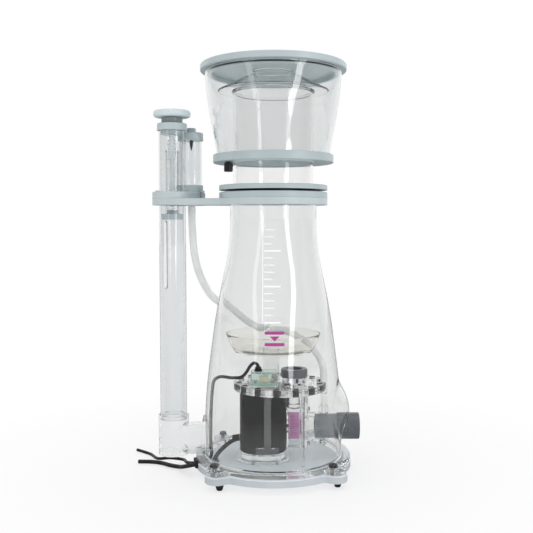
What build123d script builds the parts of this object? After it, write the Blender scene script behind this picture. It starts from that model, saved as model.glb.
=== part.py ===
from build123d import *
import math
import os

# Protein skimmer: a clear wineglass reaction body on a round base, a conical
# collection cup with a lift-off lid on top, a needle-wheel pump inside, and an
# adjustable outlet riser with an air silencer carried on a side arm.
# Millimetres, +Z up. Every piece is drawn about the body's vertical axis, then
# moved by SHIFT so that the middle of the footprint on the floor is the origin.
# +X is the pump intake side, -X the outlet side.
# Cutters run past the material they cut, so their ends are not design sizes.

SHIFT = (47.3, 0.0, 0.0)
CLEAR = 0.05  # usual gap between mating pieces
EDGE_BREAK = 0.8  # usual edge chamfer

# ------------------------------------------------------- shared dimensions
# base and body flange
FOOT_H = 10.0
BASE_T = 10.5
BASE_Z1 = FOOT_H + BASE_T
EAR_PCD_R = 121.0
EAR_ANGLES = (47.5, 138.0, 229.0, 317.0)
EAR_HALF_TURN = 2.5  # screw and foot sit this far either side of the ear middle
EAR_FILLET_R = 9.0
SCREW_R = 3.0
FLANGE_Z0, FLANGE_Z1 = 21.7, 27.6

# reaction body, outer wall: (radius, z)
BODY_PROFILE = [
    (103.0, FLANGE_Z1), (103.0, 56.0), (103.0, 79.0), (102.1, 101.6), (100.75, 121.8),
    (98.9, 142.0), (95.75, 169.0), (91.8, 199.0), (87.5, 229.5), (82.4, 259.6),
    (76.2, 289.7), (70.1, 320.0), (66.3, 350.0), (64.9, 380.0), (64.8, 400.0)]
BODY_WALL = 4.0
NECK_R, NECK_BORE_R = 64.8, 61.6
NECK_TOP_Z = 421.0

# collars and side arm
COLLAR_R = 81.0
COLLAR_CHAMFER = 0.9
ARM_Z0, ARM_Z1 = 402.0, 411.9
MOUNT_Z0, MOUNT_Z1 = ARM_Z1 + 0.1, 422.0
ARM_END_R = 30.0
ARM_CUT = (390.0, 430.0)
ARM_SCREWS = ((-175.0, 9.0), (-146.0, -25.2), (-107.5, 14.5))

# outlet riser and air silencer
PIPE_R, PIPE_BORE_R = 20.0, 17.0
PIPE_C = (-151.3, 0.0)
PIPE_Z0, PIPE_Z1 = 79.0, 513.0
ELBOW_Z = 48.7
ELBOW_BORE_R = 19.0
SPINDLE_R = 4.0
SIL_C = (-125.7, 30.0)
SIL_R, SIL_BORE_R = 16.0, 13.5
SIL_Z0, SIL_Z1 = 428.15, 501.0
SIL_SPIGOT_HOLE_R = 6.0

# pump
AXIS_Z = 67.7  # height of the shaft and intake axis
MOTOR_X0, MOTOR_X1 = -50.0, 20.0
MOTOR_HALF_Y = 40.0
MOTOR_Z0, MOTOR_Z1 = 34.1, 121.0
SHAFT_R = 2.5
SHAFT_BORE_R = SHAFT_R + 0.02
RISER_C = (32.0, 0.0)
RISER_R = 18.6
INTAKE_R, INTAKE_BORE_R = 18.3, 14.0
SOCKET_R = 19.9
VENTURI_C = (77.0, 0.0)
PLINTH_SCREWS = ((-29.0, -41.0), (5.0, -41.0))
HEX_R = 1.4  # drive recess of the pump screws

# diffuser plate and dish
DIFF_C = (10.0, 0.0)
DIFF_Z0, DIFF_Z1 = 125.5, 136.0
DISH_BOT_Z = 182.0
STEM_C = (-3.0, 8.0)
STEM_BORE_R = 11.0
BOOT_C = (-22.0, -30.0)

# collection cup
CUP_NECK_R, CUP_NECK_WALL = 60.0, 3.0
DRAIN_C = (-65.0, -35.5)

# hoses and cables
HOSE_R, HOSE_BORE_R = 5.75, 4.1
FIT_X, FIT_Z = -8.0, 204.0  # axis of the hose fitting in the +Y wall
FIT_R = 5.0
FIT_OUT_Y, FIT_IN_Y = 99.0, 79.0
MOTOR_CABLE_R, SENSOR_CABLE_R = 3.25, 2.5
EXIT_ANGLE = 195.0  # direction of the cable channel
MOTOR_LANE, SENSOR_LANE = 4.2, -4.4  # sideways offsets in the channel
LANE_Z = 17.9

# ----------------------------------------------------------------- helpers
STAND = (Align.CENTER, Align.CENTER, Align.MIN)
pieces = []


def piece(make):
    """Add a function to the pieces; its name becomes the file name."""
    pieces.append(make)
    return make


def rod(r, z0, z1, at=(0.0, 0.0)):
    return Pos(at[0], at[1], z0) * Cylinder(r, z1 - z0, align=STAND)


def ring(r, bore_r, z0, z1, at=(0.0, 0.0)):
    return rod(r, z0, z1, at) - rod(bore_r, z0 - 1.0, z1 + 1.0, at)


def rod_x(r, x0, x1, y=0.0, z=0.0):
    return Pos(x0, y, z) * Rot(0, 90, 0) * Cylinder(r, x1 - x0, align=STAND)


def rod_y(r, y0, y1, x=0.0, z=0.0):
    return Pos(x, y0, z) * Rot(-90, 0, 0) * Cylinder(r, y1 - y0, align=STAND)


def block(x0, x1, y0, y1, z0, z1):
    corner = (Align.MIN, Align.MIN, Align.MIN)
    return Pos(x0, y0, z0) * Box(x1 - x0, y1 - y0, z1 - z0, align=corner)


def lathe(profile, at=(0.0, 0.0)):
    """Turn a closed polygon of (radius, z) points about a vertical axis."""
    face = make_face(Polyline(*profile, close=True).edges())
    return Pos(at[0], at[1], 0) * revolve(Plane.XZ * face, Axis.Z)


def curved_plug(outer):
    """Solid of revolution under a smooth curve of (radius, z) points."""
    z_bottom, z_top = outer[0][1], outer[-1][1]
    curve = Spline(*outer)
    top = Line(outer[-1], (0, z_top))
    axis = Line((0, z_top), (0, z_bottom))
    bottom = Line((0, z_bottom), outer[0])
    face = make_face([*curve.edges(), *top.edges(), *axis.edges(), *bottom.edges()])
    return revolve(Plane.XZ * face, Axis.Z)


def polar(r, deg, centre=(0.0, 0.0)):
    a = math.radians(deg)
    return (centre[0] + r * math.cos(a), centre[1] + r * math.sin(a))


def circle_places(r, start, count, centre):
    return [polar(r, start + i * 360.0 / count, centre) for i in range(count)]


def drill(part, r, z0, z1, places):
    for place in places:
        part -= rod(r, z0, z1, place)
    return part


def top_edges(part):
    return part.edges().group_by(Axis.Z)[-1]


def bottom_edges(part):
    return part.edges().group_by(Axis.Z)[0]


def hose(points, r, bore_r=None, tangents=None):
    path = Spline(*points, tangents=tangents)
    plane = Plane(origin=path @ 0, z_dir=path % 0)
    section = plane * Circle(r)
    if bore_r:
        section = section - plane * Circle(bore_r)
    return sweep(section, path=path)


def exit_block(r0, r1, half_width, z0, z1):
    """Block lying along the cable channel, from r0 to r1 off the axis."""
    return Rot(0, 0, EXIT_ANGLE) * block(r0, r1, -half_width, half_width, z0, z1)


# -------------------------------------------------------------------- base
SCREW_PLACES = [polar(EAR_PCD_R, a - EAR_HALF_TURN) for a in EAR_ANGLES]
FOOT_PLACES = [polar(EAR_PCD_R, a + EAR_HALF_TURN) for a in EAR_ANGLES]
SEAL_R = 105.0


def eared_disc(disc_r, ear_r):
    outline = Circle(disc_r)
    for angle in EAR_ANGLES:
        outline = outline + Pos(*polar(EAR_PCD_R, angle)) * Circle(ear_r)
    return fillet(outline.vertices(), EAR_FILLET_R)


EAR_R = 17.0


@piece
def base_plate():
    """Round plate with four ears, seal groove, screw holes, cable channel."""
    base = Pos(0, 0, FOOT_H) * extrude(eared_disc(117.5, EAR_R), BASE_T)
    base = chamfer(top_edges(base), EDGE_BREAK)
    base = chamfer(bottom_edges(base), EDGE_BREAK)
    base -= ring(SEAL_R + 1.8, SEAL_R - 1.8, BASE_Z1 - 2.05, 40)
    base = drill(base, SCREW_R + CLEAR, 0, 40, SCREW_PLACES)
    base -= exit_block(84.0, 130.0, 9.0, 13.1, 40.0)
    return base


@piece
def rubber_feet():
    top_r, bottom_r = 6.75, 4.2
    profile = [(0, 0), (bottom_r - 0.6, 0), (bottom_r, 0.6), (top_r, FOOT_H - 1.0),
               (top_r, FOOT_H), (0, FOOT_H)]
    return Compound(children=[lathe(profile, at) for at in FOOT_PLACES])


@piece
def base_o_ring():
    """Seal in the base groove, cut away at the cable channel."""
    return Pos(0, 0, BASE_Z1 - 0.4) * Torus(SEAL_R, 1.55) - exit_block(90.0, 130.0, 9.05, 10, 40)


@piece
def screw_bushes():
    z0, z1 = FLANGE_Z1 + CLEAR, FLANGE_Z1 + 2.6
    return Compound(children=[ring(7.6, SCREW_R + CLEAR, z0, z1, at) for at in SCREW_PLACES])


@piece
def flange_thumb_screws():
    z = FLANGE_Z1 + 2.65  # underside of the head
    head = [(0, z), (5.2, z), (6.4, z + 0.75), (6.4, z + 4.15), (5.4, z + 5.15),
            (2.2, z + 5.15), (2.2, z + 3.95), (0, z + 3.95)]
    return Compound(children=[rod(SCREW_R, 11.0, FLANGE_Z1 + 3.0, at) + lathe(head, at)
                              for at in SCREW_PLACES])


# -------------------------------------------------------------------- body
@piece
def skimmer_body():
    """Clear wall with a bulge at the intake, a foot flange and a straight neck."""
    inner = [(r - BODY_WALL, z) for r, z in BODY_PROFILE]
    # the wall thins where it runs into the neck bore
    inner[-1] = (NECK_R - BODY_WALL + 0.8, BODY_PROFILE[-1][1])
    inner[-2] = (NECK_R - BODY_WALL + 0.5, BODY_PROFILE[-2][1])
    bulge_at = Pos(60.0, 0.0, 91.0)
    semi_axes = (55.5, 52.0, 60.0)
    bulge = bulge_at * scale(Sphere(1.0), by=semi_axes)
    hollow = bulge_at * scale(Sphere(1.0), by=tuple(s - BODY_WALL for s in semi_axes))
    body = (curved_plug(BODY_PROFILE) + bulge) - curved_plug(inner) - hollow

    flange = Pos(0, 0, FLANGE_Z0) * extrude(eared_disc(116.6, EAR_R - 1.2), FLANGE_Z1 - FLANGE_Z0)
    flange = fillet(top_edges(flange), 1.6)
    flange -= rod(BODY_PROFILE[0][0] - BODY_WALL, 0, 60)
    body += flange

    body += ring(NECK_R, NECK_BORE_R, 399.9, NECK_TOP_Z)
    body -= rod(NECK_BORE_R, 398.0, 430.0)
    body = drill(body, SCREW_R + CLEAR, 0, 60, SCREW_PLACES)
    # openings for the intake, the outlet, the hose fitting and the cables
    body -= rod_x(SOCKET_R + 0.1, 80.0, 140.0, 0, AXIS_Z)
    body -= rod_x(ELBOW_BORE_R, -140.0, -80.0, 0, ELBOW_Z)
    body -= rod_y(FIT_R + CLEAR, 70.0, 120.0, FIT_X, FIT_Z)
    body -= exit_block(90.0, 130.0, 9.0, 14.0, 24.7)
    return body


@piece
def cable_grommet():
    """Insert that closes the cable channel under the body flange."""
    grommet = exit_block(103.3, 121.0, 8.85, 13.2, 24.6)
    grommet = fillet(grommet.edges().filter_by(Axis.Z), 1.5)
    for cable_r, lane in ((MOTOR_CABLE_R, MOTOR_LANE), (SENSOR_CABLE_R, SENSOR_LANE)):
        grommet -= Rot(0, 0, EXIT_ANGLE) * rod_x(cable_r + 0.45, 90.0, 130.0, lane, LANE_Z)
    return grommet


# ---------------------------------------------------- collars and side arm
@piece
def body_collar():
    return chamfer(top_edges(ring(COLLAR_R, NECK_R + CLEAR, 412.0, NECK_TOP_Z)), COLLAR_CHAMFER)


def arm_end():
    """Hull round the riser pipe and the silencer."""
    around_pipe = Pos(*PIPE_C) * Circle(ARM_END_R)
    around_silencer = Pos(*SIL_C) * Circle(21.0)
    return make_hull([*around_pipe.edges(), *around_silencer.edges()])


@piece
def support_arm():
    reach = -PIPE_C[0]
    bridge = Pos(PIPE_C[0] / 2, 0) * Rectangle(reach, 2 * ARM_END_R)
    outline = Circle(COLLAR_R) + arm_end() + bridge
    arm = Pos(0, 0, ARM_Z0) * extrude(outline, ARM_Z1 - ARM_Z0)
    # corners where the bridge meets the round collar
    corners = [e for e in arm.edges().filter_by(Axis.Z)
               if -100 < e.center().X < -40 and 20 < abs(e.center().Y) < 60]
    arm = fillet(corners, 14.0)
    arm -= rod(NECK_R + CLEAR, *ARM_CUT)
    arm -= rod(PIPE_R + 0.1, *ARM_CUT, PIPE_C)
    arm -= rod(SIL_SPIGOT_HOLE_R, *ARM_CUT, SIL_C)
    arm = chamfer(arm.faces().sort_by(Axis.Z)[0].outer_wire().edges(), EDGE_BREAK)
    return drill(arm, 1.9, 404, 430, ARM_SCREWS)


@piece
def riser_mount_flange():
    flange = Pos(0, 0, MOUNT_Z0) * extrude(arm_end(), MOUNT_Z1 - ARM_Z1 - 0.1)
    flange -= rod(PIPE_R + 0.1, *ARM_CUT, PIPE_C)
    flange -= rod(SIL_SPIGOT_HOLE_R, *ARM_CUT, SIL_C)
    flange -= rod(COLLAR_R + 1.2, *ARM_CUT)
    flange = chamfer(flange.faces().sort_by(Axis.Z)[-1].outer_wire().edges(), COLLAR_CHAMFER)
    return drill(flange, 1.9, 411, 430, ARM_SCREWS)


@piece
def arm_screws():
    """Three screws that hold the mount flange to the arm."""
    screws = []
    for at in ARM_SCREWS:
        head = rod(3.2, MOUNT_Z1 + 0.02, MOUNT_Z1 + 2.4, at)
        shank = rod(1.85, 404.1, MOUNT_Z1 + 1.0, at)
        screws.append(head + shank - rod(1.3, MOUNT_Z1 + 1.2, 430, at))
    return Compound(children=screws)


# ------------------------------------------------------------ outlet riser
@piece
def outlet_elbow():
    """Upright socket for the pipe, joined to a level branch from the body."""
    elbow = rod(22.8, 24.6, 85.0, PIPE_C) + rod_x(24.0, PIPE_C[0], -90.0, 0, ELBOW_Z)
    elbow += rod_x(30.0, -106.5, -90.0, 0, ELBOW_Z + 4.0)
    elbow -= rod(ELBOW_BORE_R, 29.0, 80.0, PIPE_C)
    elbow -= rod(PIPE_R + CLEAR, PIPE_Z0 - 0.1, 90.0, PIPE_C)
    elbow -= rod_x(ELBOW_BORE_R, PIPE_C[0], -80.0, 0, ELBOW_Z)
    # clear the body wall and its flange
    elbow -= rod(BODY_PROFILE[0][0] + 0.5, 0, 200)
    elbow -= rod(119.0, 0, FLANGE_Z1 + 0.1)
    return elbow


@piece
def outlet_pipe():
    """Riser pipe with one round-ended upright slot."""
    half, z0, z1 = 4.5, 280.0, 374.0
    slot = (block(5.0, 30.0, -half, half, z0, z1)
            + rod_x(half, 5.0, 30.0, 0, z0) + rod_x(half, 5.0, 30.0, 0, z1))
    pipe = ring(PIPE_R, PIPE_BORE_R, PIPE_Z0, PIPE_Z1, PIPE_C)
    return pipe - Pos(PIPE_C[0], PIPE_C[1], 0) * Rot(0, 0, 140) * slot


@piece
def outlet_cap():
    r, plug_r, bore_r = 22.4, PIPE_BORE_R - CLEAR, SPINDLE_R + CLEAR
    return lathe([(r - 1.0, 523.4), (bore_r, 523.4), (bore_r, 507.0), (plug_r, 507.0),
                  (plug_r, PIPE_Z1 + CLEAR), (r, PIPE_Z1 + CLEAR), (r, 522.4)], PIPE_C)


@piece
def level_knob():
    knob = lathe([(0, 524.0), (15.2, 524.0), (15.8, 525.0), (15.8, 532.6), (25.6, 532.6),
                  (27.6, 534.6), (27.6, 540.0), (26.6, 541.9), (24.4, 542.7), (0, 542.7)], PIPE_C)
    return knob - rod(SPINDLE_R + 0.02, 520.0, 538.0, PIPE_C)


@piece
def level_spindle():
    return rod(SPINDLE_R, 400.0, 537.9, PIPE_C)


# nut, clear stem and disc that ride up and down the spindle
VALVE_Z1 = 389.0


@piece
def valve_nut():
    bore_r = SPINDLE_R + 0.06
    return lathe([(bore_r, 470.0), (7.9, 470.0), (7.9, 482.0), (10.5, 482.0), (10.5, 484.0),
                  (7.4, 484.0), (7.4, 499.0), (bore_r, 499.0)], PIPE_C)


@piece
def valve_stem():
    return ring(10.5, 8.0, VALVE_Z1 + 0.1, 481.9, PIPE_C)


@piece
def valve_disc():
    r, z0 = 16.6, 380.5
    return lathe([(0, z0), (r, z0), (r, VALVE_Z1), (7.9, VALVE_Z1), (7.9, 395.0), (0, 395.0)],
                 PIPE_C)


# ------------------------------------------------------------ air silencer
@piece
def silencer_base():
    """Cup that holds the tube, with a barbed spigot through the arm."""
    lip_r = SIL_BORE_R - 0.1
    z_seat = SIL_Z0 - CLEAR
    cup = lathe([(17.7, 422.05), (2.4, 422.05), (2.4, 428.0), (lip_r, 428.0), (lip_r, z_seat),
                 (16.05, z_seat), (16.05, 433.0), (17.7, 433.0)], SIL_C)
    cup += lathe([(2.4, 391.0), (3.4, 391.0), (4.05, 394.5), (3.5, 394.5), (3.5, 396.5),
                  (4.05, 400.0), (4.05, 401.9), (5.9, 401.95), (5.9, 423.0), (2.4, 423.0)], SIL_C)
    return cup


@piece
def silencer_tube():
    return ring(SIL_R, SIL_BORE_R, SIL_Z0, SIL_Z1, SIL_C)


@piece
def silencer_cap():
    z0 = SIL_Z1 + CLEAR
    return lathe([(3.05, z0), (18.2, z0), (18.2, 512.0), (17.2, 513.0), (3.05, 513.0)], SIL_C)


@piece
def silencer_air_screw():
    return lathe([(0, 486.0), (0.8, 487.0), (2.6, 495.0), (3.0, 501.0), (3.0, 513.6), (6.2, 513.6),
                  (7.0, 514.4), (7.0, 519.6), (6.0, 520.5), (0, 520.5)], SIL_C)


# ---------------------------------------------------------------- air line
@piece
def wall_hose_fitting():
    """Bored fitting through the +Y wall: -X branch outside, +X branch inside."""
    fitting = rod_y(6.5, 91.9, 94.5, FIT_X, FIT_Z)
    fitting += Pos(FIT_X, FIT_OUT_Y, FIT_Z) * Sphere(5.0)
    fitting += rod_x(3.5, -20.5, FIT_X, FIT_OUT_Y, FIT_Z)
    fitting += Pos(FIT_X, FIT_IN_Y, FIT_Z) * Sphere(4.6)
    fitting += rod_x(3.5, FIT_X, 5.0, FIT_IN_Y, FIT_Z)
    # the shoulder seat follows the round wall
    wall = curved_plug([(r + CLEAR, z) for r, z in BODY_PROFILE])
    fitting -= wall & block(-40, 40, 86.0, 110.0, 190, 220)
    fitting += rod_y(FIT_R, 82.0, FIT_OUT_Y, FIT_X, FIT_Z) + rod_y(4.6, FIT_IN_Y, 83.0, FIT_X, FIT_Z)
    fitting -= rod_y(2.4, FIT_IN_Y, FIT_OUT_Y, FIT_X, FIT_Z)
    fitting -= rod_x(2.2, -30.0, FIT_X, FIT_OUT_Y, FIT_Z)
    fitting -= rod_x(2.2, FIT_X, 10.0, FIT_IN_Y, FIT_Z)
    return fitting


@piece
def air_hose():
    points = [
        (*SIL_C, 401.5), (-122.0, 34.0, 328.0), (-116.0, 45.0, 298.0), (-102.0, 68.0, 264.0),
        (-90.0, 82.0, 250.0), (-70.0, 97.0, 235.0), (-46.0, 102.5, 216.0), (-26.0, 99.6, 205.0),
        (-15.0, FIT_OUT_Y, FIT_Z)]
    return hose(points, HOSE_R, HOSE_BORE_R, tangents=[(0, 0, -1), (1, 0, 0)])


@piece
def inner_air_hose():
    points = [
        (-2.0, FIT_IN_Y, FIT_Z), (8.0, 79.0, 203.6), (24.0, 75.2, 200.5), (46.0, 64.6, 191.5),
        (64.0, 46.0, 177.5), (74.0, 26.0, 163.5), (77.0, 9.0, 151.0), (77.0, 0.6, 138.5),
        (*VENTURI_C, 129.0), (*VENTURI_C, 119.5)]
    return hose(points, HOSE_R, HOSE_BORE_R)


# --------------------------------------------------------- intake and pump
@piece
def intake_pipe():
    pipe = rod_x(INTAKE_R, 63.0, 104.0, 0, AXIS_Z) - rod_x(INTAKE_BORE_R, 40.0, 110.0, 0, AXIS_Z)
    return pipe - rod(4.05, 70.0, 120.0, VENTURI_C)


@piece
def intake_socket():
    socket = rod_x(SOCKET_R, 94.5, 130.2, 0, AXIS_Z)
    socket = chamfer(socket.edges().group_by(Axis.X)[-1], EDGE_BREAK)
    socket -= rod_x(INTAKE_R + 0.03, 90.0, 104.05, 0, AXIS_Z)
    socket -= rod_x(16.1, 100.0, 140.0, 0, AXIS_Z)
    return socket


@piece
def venturi_nipple():
    return lathe([(2.4, 80.5), (4.0, 80.5), (4.0, 87.0), (7.0, 87.5), (7.0, 96.0), (5.5, 99.0),
                  (5.5, 118.0), (3.6, 118.1), (3.6, 126.0), (3.0, 128.0), (2.4, 128.0)], VENTURI_C)


def motor_slab(grow_x, grow_y, corner_r, z0, height):
    """Rounded slab on the motor's footprint, enlarged by grow_x and grow_y."""
    outline = RectangleRounded(MOTOR_X1 - MOTOR_X0 + grow_x, 2 * MOTOR_HALF_Y + grow_y, corner_r)
    return Pos(0, 0, z0) * extrude(Pos((MOTOR_X0 + MOTOR_X1) / 2, 0) * outline, height)


@piece
def motor_housing():
    motor = motor_slab(0, 0, 26.0, MOTOR_Z0, MOTOR_Z1 - MOTOR_Z0)
    motor = fillet(top_edges(motor), 3.0)
    motor = fillet(bottom_edges(motor), 3.0)
    motor -= rod_x(17.5, -32.0, 30.0, 0, AXIS_Z)
    motor -= rod_x(MOTOR_CABLE_R + 0.1, -60.0, -40.0, -14.0, 53.0)
    motor -= rod(RISER_R + 0.3, 88.0, 130.0, RISER_C)
    return motor


@piece
def rotor_magnet():
    return rod_x(15.0, -27.0, 12.0, 0, AXIS_Z) - rod_x(SHAFT_BORE_R, -40.0, 30.0, 0, AXIS_Z)


@piece
def pump_shaft():
    return rod_x(SHAFT_R, -31.0, 41.0, 0, AXIS_Z)


@piece
def needle_wheel():
    """Disc and hub with three rings of pins."""
    wheel = rod_x(20.3, 23.0, 25.0, 0, AXIS_Z) + rod_x(6.0, 23.0, 40.0, 0, AXIS_Z)
    for ring_r, count in ((18.9, 18), (14.7, 12), (10.5, 9)):
        # each ring's start angle in degrees equals its radius
        for y, z in circle_places(ring_r, ring_r, count, (0.0, AXIS_Z)):
            wheel += rod_x(1.25, 24.5, 40.0, y, z)
    return wheel - rod_x(SHAFT_BORE_R, 10.0, 50.0, 0, AXIS_Z)


@piece
def volute():
    """Round pump chamber with a riser stub on top."""
    r, z, x1 = 34.0, AXIS_Z + 1.0, 44.9
    chamber = rod_x(r, 20.15, x1, 0, z)
    chamber += rod(RISER_R, 90.0, 116.0, RISER_C) & block(-40, x1, -40, 40, 60, 130)
    chamber -= rod_x(r - 3.0, 22.4, 60.0, 0, z)
    chamber -= rod_x(8.0, 10.0, 30.0, 0, AXIS_Z)
    chamber -= rod(10.0, 80.0, 130.0, RISER_C)
    return chamber


COVER_Z = 74.0
COVER_X1 = 52.0


@piece
def volute_cover():
    cover = rod_x(40.0, 45.0, COVER_X1, 0, COVER_Z) + rod_x(20.6, 51.0, 70.0, 0, AXIS_Z)
    cover -= rod_x(INTAKE_BORE_R, 40.0, 64.0, 0, AXIS_Z)
    cover -= rod_x(INTAKE_R + CLEAR, 62.95, 80.0, 0, AXIS_Z)
    return cover


@piece
def pump_screws():
    """Four screw heads on the volute cover and two screws in the plinth."""
    screws = [rod_x(3.2, COVER_X1 + CLEAR, 54.4, y, z) - rod_x(HEX_R, 53.2, 60.0, y, z)
              for y, z in circle_places(36.5, 45, 4, (0.0, COVER_Z))]
    for at in PLINTH_SCREWS:
        screw = rod(1.95, 20.7, 26.0, at) + rod(3.2, 25.1, 27.5, at)
        screws.append(screw - rod(HEX_R, 26.4, 40.0, at))
    return Compound(children=screws)


@piece
def pump_riser_tube():
    return ring(RISER_R, 16.0, 116.1, 143.0, RISER_C)


@piece
def riser_ring():
    return lathe([(12.0, 143.1), (19.4, 143.1), (20.2, 144.2), (20.2, 153.6), (18.8, 155.4),
                  (13.0, 155.4), (12.0, 154.4)], RISER_C)


@piece
def pump_plinth():
    """Clear two-step plinth under the motor."""
    plinth = motor_slab(9.0, 10.0, 30.0, BASE_Z1 + CLEAR, 4.5)
    plinth += motor_slab(-4.0, -4.0, 24.0, BASE_Z1 + CLEAR, 13.4)
    return drill(plinth, 2.05, 15, 40, PLINTH_SCREWS)


@piece
def motor_strap():
    """Upright strap on the -Y side of the motor, with a wide foot and two tabs."""
    y = (-46.4, -40.4)
    strap = block(-13.0, -3.0, *y, 25.1, DIFF_Z0 - 0.1)
    strap += block(-25.0, 8.0, *y, 34.0, 45.0)
    strap += block(-32.0, -22.0, *y, 27.6, 35.0) + block(2.0, 12.0, *y, 27.6, 35.0)
    return strap


# ------------------------------------------------- diffuser plate and dish
@piece
def diffuser_plate():
    cut = (120, 150)
    plate = fillet(rod(70.0, DIFF_Z0, DIFF_Z1, DIFF_C).edges(), 1.2)
    plate -= rod(RISER_R + 0.1, *cut, RISER_C)
    plate = drill(plate, 4.6, *cut, circle_places(62.0, 8.0, 14, DIFF_C))
    plate = drill(plate, 2.0, *cut, circle_places(50.0, 4.0, 24, DIFF_C))
    # the inner holes leave room for the riser and the dish stem
    inner = [at for at in circle_places(39.0, 11.0, 16, DIFF_C)
             if math.dist(at, RISER_C) > 25.0 and math.dist(at, STEM_C) > 18.0]
    plate = drill(plate, 2.0, *cut, inner)
    return plate - rod(8.4, *cut, VENTURI_C)


@piece
def diffuser_legs():
    """Two legs on the base and one on the motor: (radius, foot z, place)."""
    legs = ((3.5, BASE_Z1, (42.0, -50.0)), (3.5, BASE_Z1, (51.3, 46.0)),
            (5.0, MOTOR_Z1, (-34.0, 0.0)))
    return Compound(children=[rod(r, z + CLEAR, DIFF_Z0 - CLEAR, at) for r, z, at in legs])


@piece
def bubble_dish():
    top_r, top_z, bottom_r, z0 = 71.5, 210.0, 58.0, DISH_BOT_Z
    dish = lathe([(bottom_r, z0), (bottom_r + 8.5, z0 + 14.0), (top_r, top_z), (top_r - 2.5, top_z),
                  (bottom_r + 5.6, z0 + 14.0), (bottom_r - 1.6, z0 + 3.0), (0, z0 + 3.0), (0, z0)])
    return dish - rod(STEM_BORE_R, 170, 200, STEM_C)


@piece
def dish_stem():
    return ring(13.0, STEM_BORE_R, DIFF_Z1 + CLEAR, DISH_BOT_Z - CLEAR, STEM_C)


# -------------------------------------------------------------- sensor pod
@piece
def sensor_housing():
    pod = block(-33.0, 7.0, -46.0, -12.0, DIFF_Z1 + CLEAR, 157.0)
    pod = fillet(pod.edges().filter_by(Axis.Z), 5.0)
    pod = fillet(top_edges(pod), 3.0)
    pod -= block(-31.0, 5.0, -44.0, -14.0, DIFF_Z1 + 2.0, 155.0)
    return pod - rod(2.9, 150, 160, BOOT_C)


@piece
def sensor_board():
    board = block(-30.0, 4.0, -43.0, -15.0, 139.5, 141.1)
    return board + block(-14.0, -4.0, -36.0, -24.0, 141.0, 146.0)


@piece
def cable_boot():
    bore_r = SENSOR_CABLE_R + 0.35
    return lathe([(bore_r, 157.1), (6.0, 157.1), (6.0, 159.0), (4.4, 159.6), (3.9, 163.0),
                  (bore_r, 163.0)], BOOT_C)


# ------------------------------------------------------------------ cables
def at_exit(r, side, z):
    """Point r out along the cable channel and side across it."""
    turn = math.radians(EXIT_ANGLE)
    c, s = math.cos(turn), math.sin(turn)
    return (r * c - side * s, r * s + side * c, z)


def channel_run(lane, z_in):
    stations = ((101.0, z_in), (108.0, LANE_Z), (116.0, LANE_Z), (122.5, 17.6))
    return [at_exit(r, lane, z) for r, z in stations]


@piece
def motor_cable():
    return hose([
        (-50.6, -14.0, 53.0), (-66.0, -18.5, 46.0), (-82.0, -21.5, 31.0),
        at_exit(93.0, MOTOR_LANE, 20.6), *channel_run(MOTOR_LANE, 18.0),
        (-133.0, -25.0, 11.5), (-143.5, -4.0, 4.4), (-158.0, 5.0, 3.7), (-173.0, 17.0, 3.5),
        (-190.0, 23.0, 3.5), (-211.0, 24.0, 3.5)], MOTOR_CABLE_R)


@piece
def sensor_cable():
    return hose([
        (*BOOT_C, 157.6), (*BOOT_C, 160.2), (*BOOT_C, 162.8), (-23.0, -30.0, 166.6),
        (-28.0, -30.3, 169.0), (-34.0, -30.7, 164.0), (-38.5, -31.0, 156.5),
        (-46.0, -31.0, 148.5), (-60.0, -29.0, 146.5), (-78.0, -26.0, 147.5),
        (-87.0, -22.2, 141.0), (-90.2, -21.0, 124.0), (-92.2, -21.4, 90.0), (-92.6, -22.6, 56.0),
        at_exit(94.5, SENSOR_LANE, 26.5), *channel_run(SENSOR_LANE, 18.3),
        (-129.5, -16.0, 15.0), (-139.0, 11.0, 11.0), (-160.0, 19.5, 10.8), (-181.0, 35.0, 5.0),
        (-198.0, 66.0, 2.7), (-224.0, 90.0, 2.7)], SENSOR_CABLE_R)


# ---------------------------------------------------------- collection cup
@piece
def cup_gasket():
    return ring(67.5, CUP_NECK_R + 0.15, NECK_TOP_Z + 0.1, 424.2)


@piece
def neck_o_ring():
    return ring(NECK_BORE_R - 0.08, CUP_NECK_R + CLEAR, 414.5, 417.5)


@piece
def cup_collar():
    return chamfer(top_edges(ring(COLLAR_R, CUP_NECK_R + 0.03, 424.3, 431.4)), EDGE_BREAK)


@piece
def cup_neck():
    r, bore_r, z0, z1 = CUP_NECK_R, CUP_NECK_R - CUP_NECK_WALL, 412.5, 571.5
    return lathe([(r, z0), (r, 566.5), (r + 1.6, 567.5), (r + 1.6, z1), (bore_r, z1),
                  (bore_r, z0)])


@piece
def cup_floor_ring():
    r, bore_r, z0, z1 = 89.8, CUP_NECK_R + 0.03, 464.5, 476.5
    cut = EDGE_BREAK
    floor = lathe([(bore_r, z0), (r - cut, z0), (r, z0 + cut), (r, z1 - cut), (r - cut, z1),
                   (bore_r, z1)])
    return floor - rod(4.05, 450, 490, DRAIN_C)


@piece
def cup_shell():
    # outer wall: (radius, z)
    outer = [(84.6, 476.6), (86.2, 490.0), (88.0, 500.0), (92.1, 521.0),
             (95.7, 542.0), (98.6, 562.0), (101.5, 592.0), (101.9, 599.4)]
    inner = [(r - 3.0, z) for r, z in outer]
    # run the bore past both ends
    inner[0] = (inner[0][0], inner[0][1] - 0.5)
    inner[-1] = (inner[-1][0], inner[-1][1] + 0.5)
    return curved_plug(outer) - curved_plug(inner)


@piece
def drain_nozzle():
    return ring(4.0, 2.8, 453.0, 476.4, DRAIN_C)


@piece
def drain_plug():
    return lathe([(0, 449.8), (5.6, 449.8), (6.5, 450.8), (6.5, 462.8), (4.06, 462.8),
                  (4.06, 452.8), (0, 452.8)], DRAIN_C)


# --------------------------------------------------------------------- lid
LID_SEAL_BORE_R = 96.65
LID_SEAL_Z0, LID_SEAL_Z1 = 595.5, 597.5


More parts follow.
